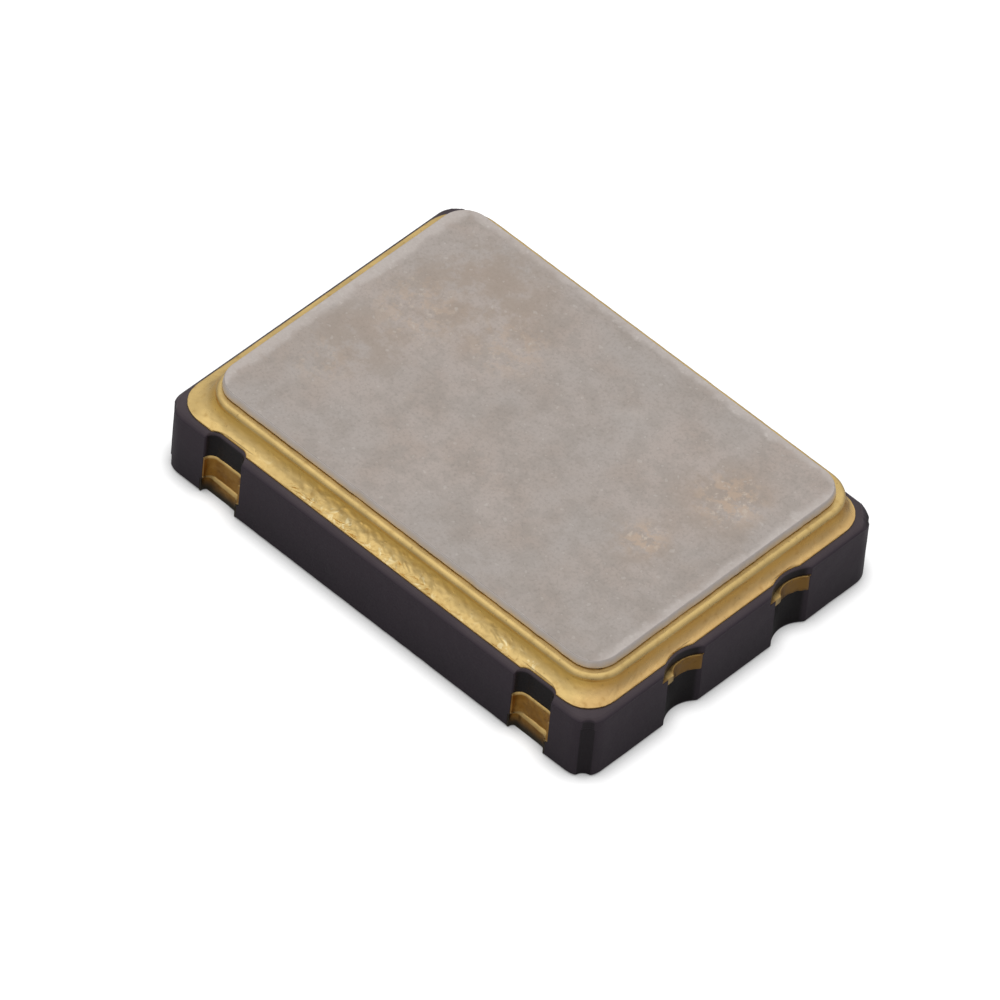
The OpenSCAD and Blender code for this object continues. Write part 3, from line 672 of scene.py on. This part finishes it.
# the braze's slope; waves are given by wavelength, seed and count, and in wander with their height first
brazeShape = {
    "step": 0.0145, "bandRadius": 0.41, "bandClear": 0.015, "hold": (2.93, 1.9), "backSoftness": 0.012,
    "inset": 0.003, "wander": [(0.0018, 0.35, 21), (0.0012, 0.09, 22)], "under": 0.0006,
    "lip": [(0.0, -0.003), (0.0012, 0.0035)],  # the lower edge, by inset and height over the band
    "slopeInset": 0.004, "wallGap": 0.003, "film": 0.007, "ramp": 0.20, "power": 3.2, "backUpTo": 0.35,
    "calmFoot": 0.08, "calmTop": 0.12, "liftOut": 0.45, "liftUp": 0.85,
    "rough": 0.22,  # everywhere, and more on the -Y side: strength, middle, reach and power along X
    "roughPlaces": [(0.9, -0.3, 1.5, 4), (0.6, 2.0, 0.35, 2)],
    "wrinkle": 0.0060, "wrinkleWaves": (0.13, 31, 22),
    "crease": 0.012, "creaseWaves": (0.19, 32, 12), "creaseWidth": 0.13, "breakWaves": (0.15, 35, 12),
    "breakFrom": 0.1, "fine": 0.0008, "fineWaves": (0.05, 33, 16), "fineCalm": 0.4,
    "bend": 0.0025, "bendWaves": (0.6, 34, 10),
    "ruck": 0.016, "ruckPitch": 0.17, "ruckWaves": (0.5, 36, 8), "ruckWander": 0.9, "ruckMiddle": 0.38,
    "ruckReach": 0.26, "ruckPatches": (0.7, 37, 10), "ruckFrom": 0.25, "slant": 0.45, "slantMiddle": 0.42,
    "collar": [(0.010, 0.0022), (0.020, 0.0012), (0.030, 0.0), (0.034, -0.004), (0.034, -0.02)],
}


def ringWall(spots):
    # the outer face of the seam ring, with its outward directions
    half = (ringHigh - ringLow)[:2] / 2
    return outline(spots, half[0], half[1], ringRadius, printX, printY)[:2]


def brazeFoot(spots):
    # the lower edge, along the edge of the printed band, with its outward directions, what it is held back
    # from the slots and grooves, and which places are on the -Y side
    b = brazeShape
    body, bodyOut, where = outline(spots, bodyHigh[0], bodyHigh[1], notches["cornerRadius"])
    bandHalf, bandMiddle = (bandHigh - bandLow)[:2] / 2, (bandHigh + bandLow)[:2] / 2
    foot, out, _ = outline(spots, *bandHalf, b["bandRadius"], *bandMiddle, hold=b["hold"])
    margin = ((body - foot) * bodyOut).sum(1)
    cut = notchDepth(where, "top", b["bandClear"])
    soft = b["backSoftness"]
    back = smoothMax(cut - margin, 0.0, soft) - soft / 2 * (cut < 0.01)
    back = np.where(where[:, 0] < 4, np.maximum(back, 0), 0.0)
    foot = foot - out * (b["inset"] + uneven(foot, b["wander"]))[:, None]
    front = (where[:, 0] == 3) | (where[:, 0] == 7)
    return foot, out, out * back[:, None], front


def slopeLift(spot, alongX, u, rough, patchy):
    # how far the slope stands out a share u of the way up it
    b = brazeShape
    waves = ripples(spot, *b["wrinkleWaves"])
    # creases: thin valleys where one wave sum crosses nought, broken up by another
    broken = softSwitch(ripples(spot, *b["breakWaves"]) - b["breakFrom"], 6)
    creases = np.exp(-(ripples(spot, *b["creaseWaves"]) / b["creaseWidth"]) ** 2) * broken
    small = ripples(spot, *b["fineWaves"]) * b["fine"] * (b["fineCalm"] + rough)
    bend = ripples(spot, *b["bendWaves"]) * b["bend"]
    # rucks: a row of slanting folds along the middle of the slope
    phase = (alongX + b["slant"] * abs(u - b["slantMiddle"])) / b["ruckPitch"]
    phase = phase + b["ruckWander"] * ripples(spot, *b["ruckWaves"])
    folds = np.abs(2 * (phase - np.floor(phase)) - 1) - 0.5
    lift = (waves * b["wrinkle"] - creases * b["crease"]) * rough + small + bend
    return lift + folds * b["ruck"] * patchy * hump(u, b["ruckMiddle"], b["ruckReach"], 4)


def braze():
    # the slope rises from the foot to the ring's wall as a share of u plus a power of u
    b = brazeShape
    spots = stations(b["step"])
    foot, footOut, back, front = brazeFoot(spots)
    wall, wallOut = ringWall(spots)
    rise = brazeHigh[2] - zBand
    alongX = foot[:, 0]
    rough = b["rough"] + sum(strength * front * hump(alongX, *place) for strength, *place in b["roughPlaces"])
    patchy = softSwitch(ripples(foot, *b["ruckPatches"]), 5) * np.clip(rough - b["ruckFrom"], 0, 1)
    rows = [atHeight(foot - back, zRim + b["under"])]
    for inset, z in b["lip"]:
        rows.append(atHeight(foot - back - footOut * inset, zBand + z))
    for u in np.concatenate([np.linspace(0, 0.6, 19)[:-1], np.linspace(0.6, 1, 22)]):
        flat = foot * (1 - u) + (wall + wallOut * b["wallGap"]) * u - footOut * b["slopeInset"] * (1 - u)
        flat = flat - back * max(0.0, 1 - u / b["backUpTo"])
        climb = rise * (b["ramp"] * u + (1 - b["ramp"]) * u ** b["power"]) + b["film"]
        spot = atHeight(flat, zBand + climb)
        calm = min(1.0, u / b["calmFoot"]) * min(1.0, (1 - u) / b["calmTop"])
        lift = slopeLift(spot, alongX, u, rough, patchy) * calm
        rows.append(spot + atHeight(footOut * b["liftOut"] * u, b["liftUp"]) * lift[:, None])
    for z, off in b["collar"]:
        rows.append(atHeight(wall + wallOut * off, zBand + rise + b["film"] + z))
    rows.append(atHeight(wall + wallOut * off, zRim + b["under"]))
    return ringPiece("brazeSkin", rows)


brazePiece = braze()
paint(brazePiece, brazeMaterial)
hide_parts("braze_fillet")


# the seam ring, rolled over at its outer shoulder; roll marks are given by height, wavelength and seed
ringShape = {
    "step": 0.03, "shoulder": 0.056, "crown": 0.004, "innerX": 2.81, "innerY": 1.81, "innerRadius": 0.26,
    "wallHeights": (0.0, 0.08, 0.16), "wallTop": 0.02, "topInsets": (0.064, 0.074, 0.086, 0.10, 0.108, 0.13),
    "rollMarks": [(0.000672, 0.22, 41), (0.00056, 0.08, 42)], "markMiddle": 0.03, "markReach": 0.04,
    "crownReach": 0.055, "innerDrops": (0.006, 0.012),
}


def ringSkin():
    # its section, from the foot of the outer wall over a quarter circle to the inner edge, carried round
    r = ringShape
    spots = stations(r["step"])
    wall, out = ringWall(spots)
    inner, _, _ = outline(spots, r["innerX"], r["innerY"], r["innerRadius"], printX, printY)
    z0, z1 = ringLow[2], ringHigh[2]
    s = r["shoulder"]
    section = [(0.0, z0 + z) for z in r["wallHeights"]] + [(0.0, z1 - s - r["wallTop"])]
    for a in np.linspace(0, np.pi / 2, 10):
        section.append((s * (1 - math.cos(a)), z1 - s + s * math.sin(a)))
    section += [(inset, z1) for inset in r["topInsets"]]
    rows = []
    for inset, z in section:
        flat = wall - out * inset
        near = hump(inset, r["markMiddle"], r["markReach"], 2) if z > z0 + r["wallHeights"][-1] else 0.0
        bead = uneven(flat, r["rollMarks"]) * near
        sink = r["crown"] * max(0.0, inset - s) / r["crownReach"]
        rows.append(atHeight(flat + out * bead[:, None], z - sink + bead))
    rows.append(atHeight(inner + (wall - inner) * 0.05, z1 - r["innerDrops"][0]))
    rows.append(atHeight(inner, z1 - r["innerDrops"][1]))
    rows.append(atHeight(inner, z0))
    return ringPiece("ringSkin", rows)


seamRing = ringSkin()
paint(seamRing, ringMaterial)
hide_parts("seam_ring")


# the lid; weld and sag are given by height, wavelength, seed and count
lidShape = {
    "step": 0.04, "radius": 0.37, "reach": 0.07,  # reach is what it goes further to -X
    "edgeRound": 0.03, "edgeInset": 0.004, "lip": 0.012, "lipInset": 0.008, "lipRise": 0.006,
    "under": [(0.4, 0.02), (0.9, 0.02), (1.0, 0.022)],  # outlines of the underside, by share and inset
    "weld": [(0.0025, 0.16, 51), (0.003, 0.5, 52)], "weldLeast": -0.004,
    "sag": [(0.0018, 2.6, 53, 8), (0.0007, 0.55, 54, 14)], "sagMost": 0.0012, "sagFade": 12, "skinGap": 0.001,
}


def lidSkin():
    # outlines from the middle of the underside round the softened edge to the middle of the top, which sags
    s = lidShape
    spots = stations(s["step"])
    half = (lidHigh - lidLow)[:2] / 2
    shift = s["reach"] / 2
    edge, out, _ = outline(spots, half[0] + shift, half[1], s["radius"], printX - shift, printY)
    z0, z1 = lidLow[2], lidHigh[2]
    middle = np.array([printX, printY])
    rows = []
    for share, inset in s["under"]:
        rows.append(atHeight(middle + (edge - out * inset - middle) * share, z0 + s["skinGap"]))
    rows.append(atHeight(edge - out * s["lipInset"], z0 + s["lipRise"]))
    weld = np.maximum(uneven(edge, s["weld"]), s["weldLeast"])
    edgeTop = z1 - z0 - s["lip"] - s["skinGap"] - s["sagMost"]
    for t in np.linspace(0.0, 1.0, 16):
        flat = edge - out * (s["edgeInset"] + s["edgeRound"] * t + weld * (1 - t))[:, None]
        rows.append(atHeight(flat, z0 + s["lip"] + edgeTop * math.sin(math.pi / 2 * t)))
    topEdge = rows[-1][:, :2]
    for v in 1 - np.concatenate([np.linspace(0.004, 0.12, 12), np.linspace(0.14, 0.97, 30)]):
        flat = middle + (topEdge - middle) * v
        sag = uneven(flat, s["sag"]) * min(1.0, (1 - v) * s["sagFade"])
        rows.append(atHeight(flat, z1 - s["skinGap"] - s["sagMost"] + np.minimum(sag, s["sagMost"])))
    return cappedPiece("lidSkin", rows)


lidPiece = lidSkin()
paint(lidPiece, nickelMaterial)
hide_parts("lid")


def slotContour(width, depth, mouth):
    # places along a slot's wall from its left mouth to its right one: distance along the side, depth
    first = math.asin(min(mouth / depth, 1))
    turn = np.linspace(first, np.pi / 2, 14)
    left = np.stack([-(width / 2 - depth) - depth * np.cos(turn), depth * np.sin(turn)], 1)
    middle = np.linspace(-(width / 2 - depth), width / 2 - depth, 26)[1:-1]
    back = np.stack([middle, np.full(len(middle), depth)], 1)
    return np.vstack([left, back, left[::-1] * (-1, 1)])


def scoopContour(width, depth, inset, mouth):
    # the same for a scoop, moved in from its wall by the inset
    r = scoopRadius(width, depth)
    reach = math.acos(min((r - depth + mouth) / (r - inset), 1))
    turn = np.linspace(-reach, reach, 48)
    return np.stack([(r - inset) * np.sin(turn), (r - inset) * np.cos(turn) - (r - depth)], 1)


def shell(stack, flip):
    # a closed wall: each level holds two facing contours; returns vertices and faces
    points = np.array([np.vstack([first, second[::-1]]) for first, second in stack])
    rows, columns = points.shape[:2]
    index = np.arange(rows * columns).reshape(rows, columns)
    faces = gridFaces(index)
    k = np.arange(columns // 2 - 1)
    for row, turned in ((index[0], True), (index[-1], False)):
        cover = np.stack([row[k], row[k + 1], row[columns - 2 - k], row[columns - 1 - k]], -1)
        faces = np.vstack([faces, cover[:, ::-1] if turned else cover])
    if flip:
        faces = faces[:, ::-1]
    return points.reshape(-1, 3), faces


def shellLevel(place, wall, air, z, waves=None):
    # a wall and its open face at a height, the open face moved in or out by ripples
    if waves:
        air = air + uneven(atHeight(air, z), [waves])[:, None] * (0, 1)
    return atHeight(place(wall), z), atHeight(place(air), z)


def joinShells(name, shells):
    verts, faces, start = [], [], 0
    for points, quads in shells:
        verts.append(points)
        faces += (quads + start).tolist()
        start += len(points)
    return addPiece(name, np.vstack(verts), faces, sharpAngle=50)


def traceShell(path, width, z0, z1):
    # a flat strip along a path of straight runs that turn at right angles
    path = np.array(path, float)
    runs = np.diff(path, axis=0)
    runs /= np.linalg.norm(runs, axis=1, keepdims=True)
    sideways = np.stack([-runs[:, 1], runs[:, 0]], 1)
    at = np.vstack([sideways[:1], sideways[:-1] + sideways[1:], sideways[-1:]])
    left, right = path + at * width / 2, path - at * width / 2
    return shell([(atHeight(right, z), atHeight(left, z)) for z in (z0, z1)], False)


# a plated slot: its lining in the side of the package, its solder pad below and its trace inside
terminalShape = {
    "lining": 0.025, "print": 0.02, "trace": 0.22, "fingerX": 0.51, "fingerEnd": 0.15,
    "rimRound": 0.045, "rimBack": 0.85,
    "ledgeRound": 0.05, "ledgeSwing": 0.016, "ledgeBelow": 0.012, "ledgeFrom": 0.02, "ledgeTo": 0.045,
    "bumps": (0.0022, 0.14, 60),
    "padLength": 1.4, "padDepth": 1.15, "padMargin": 0.09, "padCorner": 0.05,
    "padEdge": [(0.0, 0.006), (0.0025, 0.002), (0.006, 0.0), (0.016, 0.0), (0.02, 0.004)],  # height, inset
}


def padShell(place, flip):
    # the solder pad: a flat plate with round corners and soft edges
    t = terminalShape
    half, near, far, c = t["padLength"] / 2, t["padMargin"], t["padDepth"], t["padCorner"]
    turn = np.linspace(0, np.pi / 2, 7)
    levels = []
    for z, inset in t["padEdge"]:
        left = np.stack([-half + c - (c - inset) * np.cos(turn), near + c - (c - inset) * np.sin(turn)], 1)
        middle = np.stack([np.linspace(-half + c, half - c, 12)[1:-1], np.full(10, near + inset)], 1)
        front = np.vstack([left, middle, left[::-1] * (-1, 1)])
        back = front * (1, -1) + (0, near + far)
        levels.append((atHeight(place(front), z), atHeight(place(back), z)))
    return shell(levels, flip)


def liningLevels(mouth):
    # the lining's wall and its open face at each height: the lower part, the ledge and the upper part
    n, t = notches, terminalShape

    def contours(step):
        depth = n["slotDepth"] - step
        wall = slotContour(n["slotWidth"], depth, mouth) - (step, 0)
        air = slotContour(n["slotWidth"] - 2 * t["lining"], depth - t["lining"], mouth) - (step, 0)
        return wall, air

    wallLow, airLow = contours(n["slotStep"])
    wallHigh, airHigh = contours(0.0)
    swing = np.clip(airLow[:, 0] / (n["slotWidth"] / 2), -1, 1) * t["ledgeSwing"]
    airLow = airLow - np.stack([np.zeros(len(swing)), swing * (airLow[:, 1] > mouth + 0.01)], 1)
    zTop = zBond + t["print"]
    levels = [(wallLow, airLow, z) for z in np.linspace(bodyLow[2], zFloor - t["ledgeFrom"], 8)]
    for share in np.linspace(0, 1, 7):  # the ledge, rounded over
        z = zFloor - t["ledgeBelow"] + t["ledgeRound"] * math.sin(share * math.pi / 2)
        levels.append((wallLow if share < 0.4 else wallHigh, airLow * (1 - share) + airHigh * share, z))
    levels += [(wallHigh, airHigh, z) for z in np.linspace(zFloor + t["ledgeTo"], zTop - t["rimRound"], 12)]
    for a in np.linspace(0, 1, 6)[1:]:  # the rim, rounded over
        back = t["rimBack"] * (1 - math.sqrt(1 - a * a * 0.98))
        levels.append((wallHigh, airHigh * (1 - back) + wallHigh * back, zTop - t["rimRound"] * (1 - a)))
    return levels


def terminalSkin(i):
    # the lining of one slot, its pad and its trace, with the open face a little bumpy
    n, p, t = notches, packageShape, terminalShape
    sideX, sideY = [(-1, -1), (1, -1), (1, 1), (-1, 1)][i]
    slotX = printX + sideX * n["slotPitch"] / 2
    short = n["slotShort"] if sideY > 0 else 0
    face = bodyHigh[1] + short

    def place(local):
        return np.stack([slotX + local[:, 0], sideY * (face - local[:, 1])], 1)

    height, wavelength, seed = t["bumps"]
    bumps = height, wavelength, seed + i
    stack = [shellLevel(place, *level, bumps) for level in liningLevels(short + n["mouth"])]
    runY = printY + sideY * (p["openingY"] + t["trace"] / 2)
    tip = printX + sideX * t["fingerX"], printY + sideY * (p["wellY"] + t["fingerEnd"])
    start = slotX, sideY * (face - n["slotDepth"])
    trace = traceShell([start, (slotX, runY), (tip[0], runY), tip], t["trace"], zBond, zBond + t["print"])
    shells = [shell(stack, sideY < 0), padShell(place, sideY > 0), trace]
    piece = joinShells("terminalSkin%d" % (i + 1), shells)
    paint(piece, terminalGold)
    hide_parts("terminal_%d" % (i + 1))


# a factory contact: plating on the third layer's wall of a +X scoop, the ledge above it and its trace inside
contactShape = {
    "lining": 0.025, "print": 0.02, "trace": 0.22, "fingerEnd": 0.15, "traceIn": 0.018,
    "runOut": -0.14, "runWidth": 0.12, "runThick": 0.055,
    "footRise": 0.008, "footBack": 0.8, "wallFrom": 0.010, "bumps": (0.0018, 0.12, 70),
    "ledge": [(0.001, 0.0), (0.012, 0.02), (0.018, 0.10), (0.020, 0.25)],  # height, share of the way back
}


def contactSkin(i):
    # the plating's levels, whose foot is raised and thickened by a bell at one end, and the trace
    n, p, t = notches, packageShape, contactShape
    centreY = printY + (i - 0.5) * n["scoopPitch"]
    wall = scoopContour(n["scoopWidth"], n["scoopDepth"], 0.0, n["mouth"])
    air = scoopContour(n["scoopWidth"], n["scoopDepth"], t["lining"], n["mouth"])
    ledge = scoopContour(n["scoopWidth"] + n["scoopRim"], n["scoopDepth"], 0.0, n["mouth"])
    ledge = ledge - (n["scoopShift"], 0)
    tail = hump(air[:, 0], air[0, 0], t["runWidth"], 2)
    foot = zBond - t["runOut"] * tail
    air[:, 0] += t["runThick"] * tail

    def place(local):
        return np.stack([bodyHigh[0] - local[:, 1], centreY + local[:, 0]], 1)

    stack = []
    for a in np.linspace(0, 1, 4)[:-1]:  # lower edge, rounded under
        back = t["footBack"] * (1 - a)
        stack.append(shellLevel(place, wall, air * (1 - back) + wall * back, foot + t["footRise"] * a))
    height, wavelength, seed = t["bumps"]
    for share in np.linspace(0.0, 1.0, 8):
        z = foot + t["wallFrom"] + (zShelf - t["wallFrom"] - foot) * share
        stack.append(shellLevel(place, wall, air, z, (height, wavelength, seed + i)))
    for rise, back in t["ledge"]:
        stack.append(shellLevel(place, ledge, air * (1 - back) + ledge * back, zShelf + rise))
    start = bodyHigh[0] - n["scoopDepth"] + t["traceIn"], centreY
    tip = printX + p["wellX"] + t["fingerEnd"], centreY
    trace = traceShell([start, tip], t["trace"], zBond, zBond + t["print"])
    piece = joinShells("contactSkin%d" % (i + 1), [shell(stack, True), trace])
    paint(piece, contactGold)
    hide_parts("side_contact_%d" % (i + 1))


plating = {
    "noises": {"cloud": (4.0, 3.0, 0.6), "fine": (13.0, 3.0)}, "relief": {"fine": 1.0}, "bump": 0.0022,
    "sheen": ("fine", 0.3, 0.75, 0.32, 0.46),
    "brownSpan": (0.30, 0.66), "sideShadeAlong": 0.5, "shadeLineWander": 0.12, "shineSpan": (-0.03, -0.008),
    "shineShare": 0.7, "glintCore": 0.4, "glintShare": 0.8, "speckSpan": (0.58, 0.75), "speckShare": 0.3,
    "shadeReach": 0.24, "shadeSpan": (0.80, 0.25), "shadeShare": 0.85,
    "mouthShadeSpan": (-0.03, -0.012), "ledgeSpan": (0.05, -0.02), "padSpan": (0.002, -0.003),
    "padInSpan": (-0.14, -0.18), "metalBelow": 0.05, "metal": (0.6, 1.0),
}

# painted shade: the plating darkens downwards, fully below the lower of its two heights and not at all above
# the higher; glints give the axis, middle and reach of painted highlights
tongues = [printY + k * notches["scoopPitch"] - notches["scoopWidth"] / 2 + 0.05 for k in (-0.5, 0.5)]
terminalPlating = {
    # the terminal's base colour is gold darkened as painted shade for the inside of the slot
    "base": (0.50, 0.27, 0.065), "dirtAndShade": (0.045, 0.036, 0.022), "fullShadeBelow": 0.04, "noShadeAbove": 0.24,
    "shine": 0.60, "glints": [("Z", zFloor + 0.015, 0.04)],
}
contactPlating = {
    # the contact's base colour is gold darkened further, as painted shade for the inside of the scoop
    "base": (0.30, 0.165, 0.045), "dirtAndShade": (0.10, 0.055, 0.02), "fullShadeBelow": 0.46, "noShadeAbove": 0.66,
    "shine": 0.86, "glints": [("Y", tongue, 0.07) for tongue in tongues],
}


def platingFinish(name, look):
    # gold with painted shade, darker downwards, towards one end of each slot, in hollows and at the slots'
    # mouths; painted highlights on its upper edge and at its glints; dark specks; and solder pads kept plain
    # gold
    p, dirtAndShade = plating, look["dirtAndShade"]
    f = Finish(name)
    at = f.coordinates()
    noise = f.noises(at, p)
    height = f.axis(at, "Z")
    awayY = f.axis(at, "Y").math("ABSOLUTE")
    half = notches["slotPitch"] / 2
    along = (f.axis(at, "X") - (printX + half)).math("WRAP", half, -half)
    # brown mottling plus painted shade towards the -X end of each slot
    mottleAndSideShade = f.ease(noise["cloud"] + along * p["sideShadeAlong"], *p["brownSpan"])
    colour = f.blend(mottleAndSideShade, gold["brown"], look["base"])
    level = height + (noise["cloud"] - 0.5) * p["shadeLineWander"]
    # painted shade: darker towards the bottom of the plating
    colour = f.blend(f.ease(level, look["noShadeAbove"], look["fullShadeBelow"]), colour, dirtAndShade)
    # painted highlight: the upper edge of the plating back to bright gold
    colour = f.blend(f.rise(height, look["shine"], p["shineSpan"]) * p["shineShare"], colour, gold["base"])
    # painted highlights: lighter places at the ledge and on the contacts' tongues
    for axis, middle, reach in look["glints"]:
        off = (f.axis(at, axis) - middle).math("ABSOLUTE")
        colour = f.blend(f.ease(off, reach, reach * p["glintCore"]) * p["glintShare"], colour, gold["base"])
    colour = f.blend(f.ease(noise["fine"], *p["speckSpan"]) * p["speckShare"], colour, dirtAndShade)
    # painted shade in hollows, from how closed-in the surroundings are
    colour = f.blend(f.ease(f.nearby(p["shadeReach"]), *p["shadeSpan"]) * p["shadeShare"], colour, dirtAndShade)
    # painted shade: the plating darker near the slot's mouth, below the ledge
    mouth = f.rise(awayY, bodyHigh[1], p["mouthShadeSpan"]) * f.rise(height, zFloor, p["ledgeSpan"])
    colour = f.blend(mouth, colour, dirtAndShade)
    pad = f.rise(height, bodyLow[2], p["padSpan"]) * f.rise(awayY, bodyHigh[1], p["padInSpan"])
    colour = f.blend(pad, colour, gold["base"])
    shiny = f.ease(height, look["fullShadeBelow"] - p["metalBelow"], look["noShadeAbove"], p["metal"])
    return f.coat(p, noise, Base_Color=colour, Metallic=shiny.math("MAXIMUM", pad))


terminalGold = platingFinish("terminalGold", terminalPlating)
contactGold = platingFinish("contactGold", contactPlating)
for i in range(4):
    terminalSkin(i)
for i in range(2):
    contactSkin(i)


# finishes of the pieces inside: two colours mixed by noise, with a fine grain; colour, second colour,
# metallic, roughness, scale, amount of the second colour, bump and other values
inside = {
    "polishedSilicon": ((0.10, 0.11, 0.13), (0.16, 0.14, 0.20), 0.6, 0.18, 6.0, 0.6, 0.0004, {}),
    "silverFilm": ((0.80, 0.80, 0.79), (0.70, 0.70, 0.70), 1.0, 0.20, 2.0, 0.5, 0.0004, {}),
    "aluminiumFilm": ((0.78, 0.78, 0.79), (0.66, 0.66, 0.68), 1.0, 0.25, 12.0, 0.5, 0.0005, {}),
    "silverGlue": ((0.42, 0.42, 0.40), (0.60, 0.60, 0.58), 0.5, 0.45, 14.0, 0.8, 0.003, {}),
    "lappedQuartz": ((0.92, 0.94, 0.95), (0.85, 0.88, 0.90), 0.0, 0.22, 3.0, 0.5, 0.0008,
                     {"Transmission_Weight": 0.85, "IOR": 1.54}),
    "drawnGold": ((0.95, 0.70, 0.30), (0.85, 0.60, 0.24), 1.0, 0.20, 8.0, 0.5, 0.0004, {}),
}


def insideFinish(name):
    colour, second, metallic, roughness, scale, amount, bump, others = inside[name]
    look = {
        "noises": {"cloud": (scale, 3.0), "grain": (scale * 9, 2.0)}, "second": second,
        "layers": [("cloud", 0.4, 0.65, amount, "second")], "relief": {"grain": 1.0}, "bump": bump,
        "sheen": ("cloud", 0.3, 0.7, roughness, roughness + 0.1),
    }
    f = Finish(name)
    noise = f.noises(f.coordinates(), look)
    return f.coat(look, noise, Base_Color=f.layered(colour, noise, look), Metallic=metallic, **others)


materials = {name: insideFinish(name) for name in inside}
dressing = {
    "seal_band": printMaterial, "die_pad": printMaterial, "rest_bar": ceramicMaterial,
    "die_attach": materials["silverGlue"], "glue_bead": materials["silverGlue"],
    "oscillator_die": materials["polishedSilicon"], "die_bond_pads": materials["aluminiumFilm"],
    "quartz_blank": materials["lappedQuartz"], "electrode": materials["silverFilm"],
    "crystal_contact": contactGold, "bond_wire": materials["drawnGold"],
}
for node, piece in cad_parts.items():
    for start, material in dressing.items():
        if node.startswith(start):
            paint(piece, material)
print("frame pieces dressed")


room = {
    "floorHalf": 0.30, "floorColour": 0.55, "floorShade": 0.25, "floorRough": 0.9, "floorGlow": 0.74,
    "paintedShadowReach": 0.2,
    "fill": 0.97, "low": (0.60, 0.59, 0.585), "high": (1.0, 1.0, 1.0), "shadow": (0.88, 0.88, 0.90),
    "shadowSpan": (0.0, 0.9),
    "keyPower": 0.035, "keySize": 0.25, "keyPlace": (-0.12, -0.05, 0.27), "keyAim": (0, 0, 0.001),
}


def floorFinish():
    # white to the camera, with the shadow where the object stands, and a painted contact shadow close to it
    # in both its colour and its glow
    f = Finish("floorWhite")
    clearOfPaintedShadow = f.nearby(room["paintedShadowReach"])
    # painted contact shadow: the glow and the floor's colour darken where the surroundings close in
    glow = f.blend(f.node("ShaderNodeLightPath", out="Is Camera Ray") * clearOfPaintedShadow, (0, 0, 0), (1, 1, 1))
    shade = f.blend(clearOfPaintedShadow, (room["floorShade"],) * 3, (room["floorColour"],) * 3)
    return f.surface(Base_Color=shade, Roughness=room["floorRough"], Specular_IOR_Level=0.0,
                     Emission_Color=glow, Emission_Strength=room["floorGlow"])


floorMesh = bpy.data.meshes.new("floor")
h = room["floorHalf"]
floorMesh.from_pydata([(-h, -h, 0), (h, -h, 0), (h, h, 0), (-h, h, 0)], [], [(0, 1, 2, 3)])
floor = bpy.data.objects.new("floor", floorMesh)
bpy.context.collection.objects.link(floor)
paint(floor, floorFinish())


def studioSky(world):
    # light from a dome that is darker low down and towards +X; the camera sees plain white
    sky = Finish("studio", world)
    direction = sky.node("ShaderNodeTexCoord", out="Generated")
    dim = sky.ease(sky.axis(direction, "X"), *room["shadowSpan"])
    dome = sky.blend(sky.axis(direction, "Z"), room["low"], room["high"])
    dome = sky.blend(dim, dome, room["shadow"], "MULTIPLY")
    lit = sky.node("ShaderNodeBackground", None, {"Color": dome, "Strength": room["fill"]})
    shown = sky.node("ShaderNodeBackground", None, {"Color": (1, 1, 1), "Strength": 1.0})
    seen = sky.node("ShaderNodeLightPath", out="Is Camera Ray")
    either = sky.node("ShaderNodeMixShader", None, {0: seen, 1: lit, 2: shown})
    sky.node("ShaderNodeOutputWorld", None, {"Surface": either})


world = bpy.data.worlds.new("studio")
bpy.context.scene.world = world
studioSky(world)


def softLamp(name, place, aim, size, power):
    # a square lamp that points at its aim
    data = bpy.data.lights.new(name, "AREA")
    data.shape = "SQUARE"
    data.size = size
    data.energy = power
    lamp = bpy.data.objects.new(name, data)
    bpy.context.collection.objects.link(lamp)
    lamp.location = place
    lamp.rotation_euler = (Vector(aim) - Vector(place)).to_track_quat("-Z", "Y").to_euler()


softLamp("keyLamp", room["keyPlace"], room["keyAim"], room["keySize"], room["keyPower"])

# angles in degrees, distances in metres; left and down move the camera sideways, in millimetres
view = {
    "azimuth": 39.694, "elevation": 47.237, "roll": 5.812, "distance": 0.1662, "field": 4.081,
    "aim": (0.0, 0.0, 0.0006), "left": 0.22933, "down": 0.21347,
    "sensor": 36, "near": 0.01, "far": 5,
}


def addCamera():
    # stands back from its aim at an azimuth and an elevation, rolled about the line of sight
    azimuth, elevation, roll = (math.radians(view[k]) for k in ("azimuth", "elevation", "roll"))
    tilt = Matrix.Rotation(math.pi / 2 - elevation, 4, "X")
    turn = Matrix.Rotation(azimuth, 4, "Z") @ tilt @ Matrix.Rotation(roll, 4, "Z")
    offset = Matrix.Translation((-view["left"] * mm, -view["down"] * mm, view["distance"]))
    data = bpy.data.cameras.new("camera")
    data.sensor_width = view["sensor"]
    data.angle = math.radians(view["field"])
    data.clip_start, data.clip_end = view["near"], view["far"]
    camera = bpy.data.objects.new("camera", data)
    bpy.context.collection.objects.link(camera)
    camera.matrix_world = Matrix.Translation(view["aim"]) @ turn @ offset
    bpy.context.scene.camera = camera


addCamera()
bpy.context.scene.view_settings.view_transform = "Standard"
print("room, lamps and camera set")
